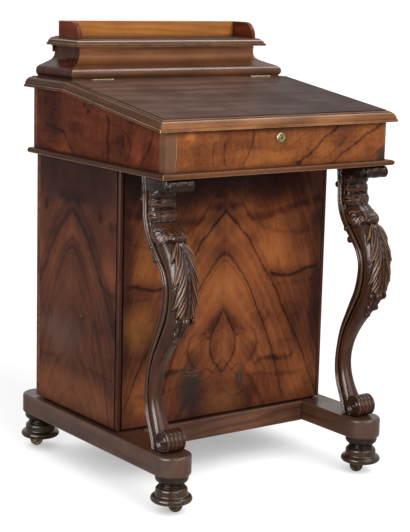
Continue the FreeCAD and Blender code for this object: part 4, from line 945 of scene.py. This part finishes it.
def smooth_rows(table, places):
    """Read a table of sections at any place along the leg, on a smooth curve through its rows."""
    middles = (table[:, 0:2] + table[:, 2:4]) / 2
    along = np.concatenate([[0], np.cumsum(np.linalg.norm(np.diff(middles, axis=0), axis=1))])
    slopes = np.gradient(table, along, axis=0)
    where = np.asarray(places) * along[-1]
    cell = np.clip(np.searchsorted(along, where, side="right") - 1, 0, len(along) - 2)
    gap = (along[cell + 1] - along[cell])[:, None]
    t = ((where - along[cell])[:, None]) / gap
    start, stop = table[cell], table[cell + 1]
    out, into = slopes[cell] * gap, slopes[cell + 1] * gap
    return ((2 * t**3 - 3 * t**2 + 1) * start + (t**3 - 2 * t**2 + t) * out
            + (3 * t**2 - 2 * t**3) * stop + (t**3 - t**2) * into)


carved_share = 0.60
carved_places = np.linspace(0, carved_share, 340, endpoint=False)
row_places = np.concatenate([carved_places, np.linspace(carved_share, 1, 110)])
rows = smooth_rows(leg_sections, row_places)
back = rows[:, 0:2]
front = rows[:, 2:4]
half_width = rows[:, 4:5]
run = np.linalg.norm(front - back, axis=1, keepdims=True)
print("leg rows", len(rows))

# %% [markdown]
# A section starts at the middle of the back. It turns the corner into a band of two reeds, sinks
# into a hollow, and swells into the rounded body that carries the leaf. Only one half is drawn,
# and the other is its mirror image.

# %% Leg sections
band_width = np.minimum(14.0, 0.32 * run)
hollow_width = np.minimum(7.0, 0.17 * run)
reed_height = 1.5
hollow_depth = 5.0
back_steps = np.linspace(0, 1, 5)[:-1]
band_steps = np.linspace(0, 1, 19)[:-1]
hollow_steps = np.linspace(0, 1, 9)[:-1]
body_steps = np.linspace(0, math.pi / 2, 52)
back_across = (half_width - 1.2) * back_steps
back_ahead = np.zeros_like(back_across)
corner = 1.2 * np.exp(-band_steps * 14)
band_across = half_width + reed_height * np.abs(np.sin(2 * math.pi * band_steps)) ** 0.8 - corner
band_ahead = band_width * band_steps
hollow_across = half_width - hollow_depth * np.sin(math.pi * hollow_steps) ** 0.8 - 0.8 * hollow_steps
hollow_ahead = band_width + hollow_width * hollow_steps
body_depth = run - band_width - hollow_width
body_across = (half_width - 0.8) * np.cos(body_steps) ** 0.78
body_ahead = band_width + hollow_width + body_depth * np.sin(body_steps) ** 0.95
half_across = np.concatenate([back_across, band_across, hollow_across, body_across], axis=1)
half_ahead = np.concatenate([back_ahead, band_ahead, hollow_ahead, body_ahead], axis=1)
body_start = half_across.shape[1] - len(body_steps)
toward_front = (front - back) / run
skin = np.stack([half_across,
                 back[:, 0:1] + half_ahead * toward_front[:, 0:1],
                 back[:, 1:2] + half_ahead * toward_front[:, 1:2]], axis=2)
print("half section", half_across.shape[1], "columns, body from", body_start)

# %% [markdown]
# Carving is planned on the flat, as a carver draws it on the blank: one measure runs down the
# front, the other goes round from its middle line. The leaf's lobes lie over one another like
# shingles. Their flutes leave the middle line, run down beside it and swing out to pointed tips.

# %% Carved leaf
def eased(value, low, high):
    share = np.clip((value - low) / (high - low), 0, 1)
    return share * share * (3 - 2 * share)


body = skin[:, body_start:, :]
steps = np.linalg.norm(np.diff(body, axis=1), axis=2)
from_middle = np.concatenate([np.cumsum(steps[:, ::-1], axis=1)[:, ::-1], np.zeros((len(rows), 1))], axis=1)
front_height = front[:, 1:2]
front_run = np.concatenate([[0], np.cumsum(np.linalg.norm(np.diff(front, axis=0), axis=1))])[:, None]
leaf_top_height = 382.0
leaf_start = np.interp(-leaf_top_height, -front_height[:, 0], front_run[:, 0])
down_leaf = front_run - leaf_start

leaf_length = 138.0
leaf_reach = 30.0
vein_drop = 92.0
lobe_pitch = 42.0
first_lobe = -76.0
flutes_per_lobe = 3
swing = np.clip(from_middle / leaf_reach, 0, 1.2)
vein = down_leaf - vein_drop * swing**0.66
lobe = (vein - first_lobe) / lobe_pitch
lobe_share = lobe - np.floor(lobe)
tip_share = 0.72
lobe_tip = np.where(lobe_share < tip_share, (lobe_share / tip_share) ** 1.5,
                    (1 - lobe_share) / (1 - tip_share))
lobe_end = 18.5 + 10.5 * lobe_tip
lobe_end = np.minimum(lobe_end, 5 + 0.62 * np.maximum(down_leaf, 0))
on_leaf = eased(from_middle, lobe_end + 0.7, lobe_end - 0.5)
flute_share = lobe * flutes_per_lobe - np.floor(lobe * flutes_per_lobe)
flute = (1 - np.abs(2 * flute_share - 1)) ** 0.9
leaf_foot = leaf_length + 9 * flute - 0.3 * from_middle
on_leaf *= eased(down_leaf, -1, 2) * eased(down_leaf, leaf_foot + 1, leaf_foot - 1)
near_tip = np.clip(from_middle / lobe_end.clip(4), 0, 1)
off_middle = eased(from_middle, 1.5, 10)
leaf_lift = 0.9 + 2.5 * flute * (0.55 + 0.45 * near_tip)
leaf_lift += 1.9 * off_middle * lobe_share**1.5 + 0.8 * near_tip**3
midrib = np.exp(-(from_middle / 1.5) ** 2)
carving = on_leaf * (leaf_lift * (1 - midrib) + 2.9 * midrib)
beside_leaf = eased(from_middle, lobe_end + 3.5, lobe_end + 0.5) * (1 - on_leaf)
beside_leaf *= eased(down_leaf, 2, 12) * eased(down_leaf, leaf_length, leaf_length - 8)
carving -= 0.9 * beside_leaf
print("leaf stands up to %.1f mm" % carving.max())

# %% [markdown]
# Above the leaf, four cuffs of a husk bulge over one another, with sunk eyes between curved folds.
# Below it hangs a small pendant of two wings that meet on a spine. Both join the plan of the leaf.

# %% Husk and pendant
# Edges of the cuffs from the top down, and how far each bulges
cuff_edges = (469.0, 453.0, 435.0, 413.0, 381.0)
cuff_bulges = (2.6, 4.0, 5.4, 6.2)
for number, (upper, lower, bulge) in enumerate(zip(cuff_edges, cuff_edges[1:], cuff_bulges)):
    deep = upper - lower
    dip = 1.7 * np.sin(from_middle / 6.5 + 1.9 * number)
    share = np.clip((upper - front_height + dip) / deep, 0, 1)
    inside = (share > 0) & (share < 1)
    swell = bulge * np.sin(math.pi * share**1.2) ** 0.6
    if number == 3:
        lip = eased(share, 0.45, 0.85) * eased(share, 1.0, 0.97) * eased(from_middle, 26, 18)
        swell += lip * (2.2 + 1.5 * np.abs(np.sin(from_middle * math.pi / 7.5)))
    near_crease = np.exp(-(share / 0.25) ** 2) + np.exp(-((1 - share) / 0.25) ** 2)
    ripple = np.sin(2 * math.pi * share * deep / 3.4 + 1.5 * np.sin(from_middle / 4 + number))
    carving += np.where(inside, swell + 0.45 * near_crease * ripple, 0)
    for place in (11.0 + 4 * (number % 2), 28.0 - 3 * (number % 2)):
        aside = (from_middle - place) / 4.2
        rise = front_height - lower - 0.55 * deep + dip + 1.6 * aside**2
        lids = 0.9 * np.exp(-((rise - 2.6) / 1.2) ** 2) + 0.8 * np.exp(-((rise + 2.6) / 1.3) ** 2)
        carving += np.exp(-aside**2) * (lids - 2.2 * np.exp(-((rise / 1.1) ** 2)))

edge_of_body = from_middle[:, :1]
on_husk = eased(front_height, 372, 384) * eased(front_height, 474, 466)
carving -= 3.0 * on_husk * eased(from_middle, edge_of_body - 9, edge_of_body)

pendant_start, pendant_end = 160.0, 200.0
pendant_share = (down_leaf - pendant_start) / (pendant_end - pendant_start)
wing = np.abs(from_middle - 11.0 * np.clip(1 - pendant_share, 0, 1) ** 0.7)
on_pendant = eased(wing, 4.2, 1.0) * eased(pendant_share, 0, 0.12) * eased(pendant_share, 1.0, 0.85)
spine = eased(from_middle, 3.0, 1.0) * eased(pendant_share, 0, 0.12) * eased(pendant_share, 1.0, 0.9)
carving += 2.6 * np.maximum(on_pendant, spine)
print("carving from %.1f to %.1f mm" % (carving.min(), carving.max()))

# %% [markdown]
# The carving moves the skin along its normals. The mirrored half is added, and the mesh gets a
# value per point that says how far it stands above its surroundings: the finish reads it to wear
# the ridges to gold and to fill the grooves with dark wax.

# %% Carved skin
def blurred(field, reach):
    """Mean over a square of points, by running sums along both directions."""
    for axis in (0, 1):
        padded = np.concatenate([np.repeat(np.take(field, [0], axis), reach, axis), field,
                                 np.repeat(np.take(field, [-1], axis), reach, axis)], axis)
        sums = np.cumsum(np.concatenate([np.zeros_like(np.take(padded, [0], axis)), padded], axis), axis)
        count = 2 * reach + 1
        high = np.take(sums, range(count, sums.shape[axis]), axis)
        low = np.take(sums, range(0, sums.shape[axis] - count), axis)
        field = (high - low) / count
    return field


down = np.gradient(skin, axis=0)
round_way = np.gradient(skin, axis=1)
normal = np.cross(round_way, down)
normal /= np.linalg.norm(normal, axis=2, keepdims=True) + 1e-9
if (normal[:, -1, 1]).mean() > 0:
    normal = -normal
lift = np.zeros(half_across.shape)
lift[:, body_start:] = carving
carved = skin + normal * lift[:, :, None]
front_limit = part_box("leg_left")[0].y / MM - box_front_y + 0.05
carved[:, :, 1] = np.maximum(carved[:, :, 1], front_limit)
carved[:, -1, 0] = 0
reeds = np.zeros(half_across.shape)
reeds[:, :body_start] = np.concatenate([np.zeros_like(back_across), band_across - half_width,
                                        hollow_across - half_width], axis=1)
relief_half = (lift + reeds) - blurred(lift + reeds, 5)
rubbed_gold = np.full(half_across.shape, 0.3)
rubbed_gold[:, body_start:] += 0.7 * on_leaf
relief_half = np.where(relief_half > 0, relief_half * rubbed_gold, relief_half)
other = carved[:, -2:0:-1, :] * np.array([-1, 1, 1])
ring = np.concatenate([carved, other], axis=1)
relief = np.concatenate([relief_half, relief_half[:, -2:0:-1]], axis=1)
print("carved skin", ring.shape[0], "rings of", ring.shape[1], "points")

# %% [markdown]
# The leg is one carving, but its rolls and its head are easier to shape as closed pieces of their
# own that sink into it. A small class gathers the points, faces and reliefs of all the pieces for
# one mesh, and closes each end of a tube with a fan of triangles.

# %% Pieces of the leg
class MeshParts:
    """Points, faces and reliefs of several closed pieces, gathered for one mesh."""

    def __init__(self):
        self.points, self.faces, self.relief = [], [], []

    def add_grid(self, grid, relief):
        """A tube of rings. Each row of the grid is a closed ring, and the ends get a fan."""
        base = len(self.points)
        count, around = grid.shape[:2]
        self.points += [tuple(point) for point in grid.reshape(-1, 3)]
        self.relief += list(relief.reshape(-1))
        for row in range(count - 1):
            upper, lower = base + row * around, base + (row + 1) * around
            for column in range(around):
                beside = (column + 1) % around
                self.faces.append((upper + column, upper + beside, lower + beside, lower + column))
        for row, order in ((0, -1), (count - 1, 1)):
            middle = len(self.points)
            self.points.append(tuple(grid[row].mean(axis=0)))
            self.relief.append(0.0)
            for column in range(around):
                first, second = (column, (column + 1) % around)[::order]
                self.faces.append((base + row * around + first, base + row * around + second, middle))


leg_parts = MeshParts()
leg_parts.add_grid(ring, relief)
print("leg skin points", len(leg_parts.points))

# %% [markdown]
# Scrolls, curls and the turned-over tips of the leaves are rolls across the leg. Each is turned
# about its own axis from a list of widths and radii, and a spiral groove is cut in its ends.

# %% Rolls of the leg
def add_roll(parts, setback, height, profile, around=56, spiral=0.0, face_from=0.0, tilt=0.0, across=0.0,
             marked=1.0):
    """Turn a profile of (place across, radius) points about a line across the leg."""
    angles = np.linspace(0, 2 * math.pi, around, endpoint=False)
    rings = []
    for place, radius in profile:
        x = np.full(around, float(place))
        if spiral and 0 < radius < face_from:
            outward = math.copysign(1, place)
            turn_share = radius / spiral - angles / (2 * math.pi) * outward
            x += outward * 0.9 * np.cos(2 * math.pi * turn_share)
        y = radius * np.cos(angles) + x * math.sin(tilt) + setback
        rings.append(np.stack([x * math.cos(tilt) + across, y, radius * np.sin(angles) + height], axis=1))
    radii = np.array([radius for _, radius in profile])
    mark = (radii - np.convolve(np.pad(radii, 3, mode="edge"), np.ones(7) / 7, mode="valid"))[:, None]
    mark = np.where(mark > 0, 0.3 * mark, mark)
    on_body = radii[:, None] > 0.6 * radii.max()
    parts.add_grid(np.array(rings), marked * np.repeat(mark, around, axis=1) * on_body)


def mirrored_profile(half):
    """A profile given from the middle outwards, with its mirror image before it."""
    return [(-place, radius) for place, radius in half[::-1]] + [point for point in half if point[0] > 0]


def reeded_roll(half_length, radius, reeds, depth, eye_radius, face_depth=1.6):
    """A roll with reeds round it, a rounded rim, a sunk spiral face and a button in its eye."""
    body_half = half_length - 2.5
    rim = radius - depth
    count = int(body_half / 0.7)
    half = []
    for step in range(count + 1):
        place = body_half * step / count
        half.append((place, rim + depth * abs(math.cos(math.pi * reeds * place / (2 * body_half)))))
    half += [(half_length - 1.2, rim - 0.4), (half_length - 0.3, rim - 1.6)]
    half += [(half_length - face_depth * eased(face_radius, rim - 2, rim - 4), face_radius)
             for face_radius in np.linspace(rim - 2.6, eye_radius + 1.4, 14)]
    half += [(half_length - face_depth, eye_radius + 0.6), (half_length + 0.3, eye_radius - 0.4),
             (half_length + 1.0, eye_radius * 0.6), (half_length + 1.2, 0.05)]
    return mirrored_profile(half)


volute_radius, volute_half = 20.8, 20.5
add_roll(leg_parts, 5, volute_radius + 0.2, reeded_roll(volute_half, volute_radius, 4, 1.5, 4.5),
         spiral=5.5, face_from=17.5)
ear_radius, ear_half = 11.0, 26.5
add_roll(leg_parts, -4, leg_height - ear_radius, reeded_roll(ear_half, ear_radius, 2, 0.9, 2.6, 1.0),
         spiral=3.4, face_from=8.6)
# Curls on the back edge: setback, height, radius, half length
for setback, height, radius, half in ((73, 447, 6.2, 26.5), (40, 366, 5.6, 29.9), (30, 346, 6.8, 28.0)):
    add_roll(leg_parts, setback, height, reeded_roll(half, radius, 2, 0.5, 1.8, 0.8))
tip_half, tip_radius, tip_power = 14.0, 8.0, 2.4
leaf_tip = []
for share in np.linspace(0, 0.999, 30):
    waved = 1 + 0.07 * math.cos(share * tip_half * 1.2)
    leaf_tip.append((share * tip_half, tip_radius * (1 - share**tip_power) ** (1 / tip_power) * waved))
add_roll(leg_parts, -3, 386, mirrored_profile(leaf_tip))
# Curled lobes at the leaf's lower end: place across, setback, height, radius, half length, tilt
for across, setback, height, radius, half_length, tilt in (
        (0, -27, 243, 10.5, 8.5, 0.0), (-14, -21, 244, 9.6, 8.5, 0.7), (14, -21, 244, 9.6, 8.5, -0.7),
        (-7, -9, 219, 8.0, 8.5, 0.6), (7, -9, 219, 8.0, 8.5, -0.6), (0, 0, 203, 7.0, 6.5, 0.0)):
    lobe_profile = []
    for share in np.linspace(0, 0.999, 18):
        waved = 1 + 0.1 * math.cos(share * 9)
        lobe_profile.append((share * half_length, radius * (1 - share**2.5) ** 0.5 * waved))
    add_roll(leg_parts, setback, height, mirrored_profile(lobe_profile), around=32, tilt=tilt,
             across=across, marked=0.0)
print("leg points with rolls", len(leg_parts.points))

# %% [markdown]
# Above the husk a short block carries the box. Its underside is hollowed towards the front, so it
# is drawn as a profile and run across the leg, with a chamfer at each end.

# %% Head block
head_outline = [(-4, leg_height), (75, leg_height), (75, 478), (72, 470), (66, 465), (40, 464), (34, 467),
                (28, 468), (-4, 468)]
head_half, chamfer = 26.5, 1.2
middle_y, middle_z = np.mean(head_outline, axis=0)
head_rings = []
for place, inset in ((-head_half, chamfer), (chamfer - head_half, 0), (head_half - chamfer, 0),
                     (head_half, chamfer)):
    head_rings.append([(place, y - inset * np.sign(y - middle_y), z - inset * np.sign(z - middle_z))
                       for y, z in head_outline])
leg_parts.add_grid(np.array(head_rings)[:, ::-1, :], np.zeros((4, len(head_outline))))
print("leg points with head", len(leg_parts.points))

# %% [markdown]
# Both legs are the same carving, so one mesh serves two objects, one on each side. The relief goes
# with the mesh as a value per point, where the finish can read it.

# %% Leg objects
leg_mesh = bpy.data.meshes.new("carved_leg")
leg_points = np.array(leg_parts.points) + np.array([0, box_front_y, runner_top])
leg_mesh.from_pydata((leg_points * MM).tolist(), [], leg_parts.faces)
relief_values = leg_mesh.attributes.new("relief", "FLOAT", "POINT").data
relief_values.foreach_set("value", np.array(leg_parts.relief, np.float32))
leg_mesh.polygons.foreach_set("use_smooth", [True] * len(leg_mesh.polygons))
leg_mesh.validate()
leg_mesh.update()
for side, sign in (("left", -1), ("right", 1)):
    leg = bpy.data.objects.new("carved_leg_" + side, leg_mesh)
    leg.location.x = sign * abs(leg_x)
    scene.collection.objects.link(leg)
    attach(leg, "desk")
    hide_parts("leg_" + side)
print("leg mesh", len(leg_mesh.vertices), "points,", len(leg_mesh.polygons), "faces")

# %% [markdown]
# The legs are darker and glossier than the panels. Handling has rubbed their ridges to a golden
# brown, and the grooves are black with wax and painted shade, so the finish reads the relief of the
# mesh. The head under the box is painted nearly black, a painted shade, and the marks of the tools show on
# it.

# %% Carved finish
carved_dark, carved_pale = srgb(40, 21, 13), srgb(64, 36, 23)
rubbed_ridge = srgb(120, 82, 50)
groove_wax_and_shade = srgb(9, 5, 4)
head_painted_shade = srgb(10, 6, 5)


def carved_walnut():
    material, wiring, shader = shader_with("carved_walnut", coat=0.05, coat_roughness=0.1, specular=0.14)
    relief_value = wiring.add("ShaderNodeAttribute", attribute_name="relief").outputs["Fac"]
    small = wiring.group(fibre.tree, Vector=grain_place(wiring, "z"))
    age = wiring.group(ageing.tree, Edge=0.8 * MM, Hollow=10 * MM)
    tone = wiring.blend(wiring.span(small["Streak"], 0.3, 0.7), carved_dark, carved_pale)
    tone = wiring.tint(tone, wiring.span(relief_value, -0.1, 0.9), 0.65, rubbed_ridge)
    # Black in the grooves: wax together with painted shade
    tone = wiring.blend(wiring.span(relief_value, -0.1, -0.6), tone, groove_wax_and_shade)
    tone = wiring.tint(tone, age["WaxAndShade"], 0.8, groove_wax_and_shade)
    here = wiring.own_place()
    height = wiring.parts(here)[2]
    leg_top = (runner_top + leg_height) * MM
    # Painted shade: the head under the box is nearly black
    tone = wiring.blend(wiring.span(height, leg_top - 0.05, leg_top - 0.01, 0.0, 0.7), tone, head_painted_shade)
    wiring.join(tone, shader.inputs["Base Color"])
    wiring.join(wiring.span(small["Mottle"], 0.3, 0.7, 0.15, 0.24), shader.inputs["Roughness"])
    tooled = wiring.span(height, leg_top - 0.032, leg_top - 0.024, 0.0, 60.0)
    cuts = wiring.times(wiring.noise(here, 160.0, 3.0), tooled)
    add_bump(wiring, shader, wiring.plus(small["Streak"], cuts), 0.05, 0.4)
    return material


leg_mesh.materials.append(carved_walnut())
print("legs finished")

# %% [markdown]
# The studio is a white sweep. A white world fills the shade, and rays that the eye or a mirror
# follows see plain white. The floor is painted white and glows where nothing stands over it, so that
# it runs into the background; near the desk occlusion dims the glow, a painted shadow that deepens the soft
# shadow round the feet.

# %% White studio
fill_strength = 0.30
world = bpy.data.worlds.new("white_studio")
world.use_nodes = True
scene.world = world
air = Wiring(world.node_tree)
background = world.node_tree.nodes["Background"]
path = air.add("ShaderNodeLightPath").outputs
mirrored = air.math("MAXIMUM", path["Is Glossy Ray"], path["Is Transmission Ray"])
seen = air.math("MAXIMUM", path["Is Camera Ray"], mirrored)
air.join(air.span(seen, 0, 1, fill_strength, 1.0), background.inputs["Strength"])
background.inputs["Color"].default_value = (1, 1, 1, 1)

reach = 14.0
floor_corners = [(-reach, -reach, 0), (reach, -reach, 0), (reach, reach, 0), (-reach, reach, 0)]
floor_mesh = bpy.data.meshes.new("studio_floor")
floor_mesh.from_pydata(floor_corners, [], [(0, 1, 2, 3)])
floor = bpy.data.objects.new("studio_floor", floor_mesh)
scene.collection.objects.link(floor)
floor_material, paint, floor_shader = shader_with("white_floor", specular=0.0)
floor_shader.inputs["Base Color"].default_value = (0.86, 0.86, 0.86, 1)
floor_shader.inputs["Roughness"].default_value = 0.9
floor_shadow_occlusion = paint.add("ShaderNodeAmbientOcclusion", samples=12)
floor_shadow_occlusion.inputs["Distance"].default_value = 0.24
glow = paint.add("ShaderNodeEmission")
# Painted shadow: the glow dims where occlusion finds the desk over the floor
paint.join(paint.span(floor_shadow_occlusion.outputs["AO"], 0.08, 0.6, 0.62, 1.55), glow.inputs["Strength"])
seen = paint.add("ShaderNodeLightPath").outputs["Is Camera Ray"]
mixed = paint.fill(paint.add("ShaderNodeMixShader"), paint.times(seen, 0.5), floor_shader.outputs[0],
                   glow.outputs[0])
paint.join(mixed[0], floor_material.node_tree.nodes["Material Output"].inputs[0])
floor_mesh.materials.append(floor_material)
print("studio floor", 2 * reach, "m wide")

# %% [markdown]
# A sun with a wide disc lights the front and the slope evenly, and a tall softbox on the left draws
# the long highlights down the legs. Two more panels, on the left and overhead, show in the polish
# alone and leave the colours as they are. One helper makes all three from place, size, power and whether it
# lights colours.

# %% Lights
desk_middle = Vector((0, 0, 0.5))
sun_data = bpy.data.lights.new("wide_sun", "SUN")
sun_data.energy = 2.9
sun_data.angle = math.radians(50)
sun = bpy.data.objects.new("wide_sun", sun_data)
sun.rotation_euler = Vector((0.10, -0.86, 0.50)).to_track_quat("Z", "Y").to_euler()
scene.collection.objects.link(sun)


def panel_light(name, place, width, height, energy, lights_colours=True):
    """A rectangle of light that faces the desk. It can be kept to highlights in the polish."""
    data = bpy.data.lights.new(name, "AREA")
    data.shape = "RECTANGLE"
    data.size, data.size_y = width, height
    data.energy = energy
    panel = bpy.data.objects.new(name, data)
    panel.location = place
    panel.rotation_euler = (Vector(place) - desk_middle).to_track_quat("Z", "Y").to_euler()
    panel.visible_diffuse = lights_colours
    scene.collection.objects.link(panel)


panel_light("left_softbox", (-2.4, -1.6, 1.3), 0.16, 1.6, 40)
panel_light("left_sheen", (-2.7, -0.6, 1.0), 1.9, 1.7, 230, lights_colours=False)
panel_light("overhead_sheen", (1.55, -0.6, 2.9), 1.3, 1.0, 60, lights_colours=False)
scene.view_settings.view_transform = "Standard"
print("studio lit")
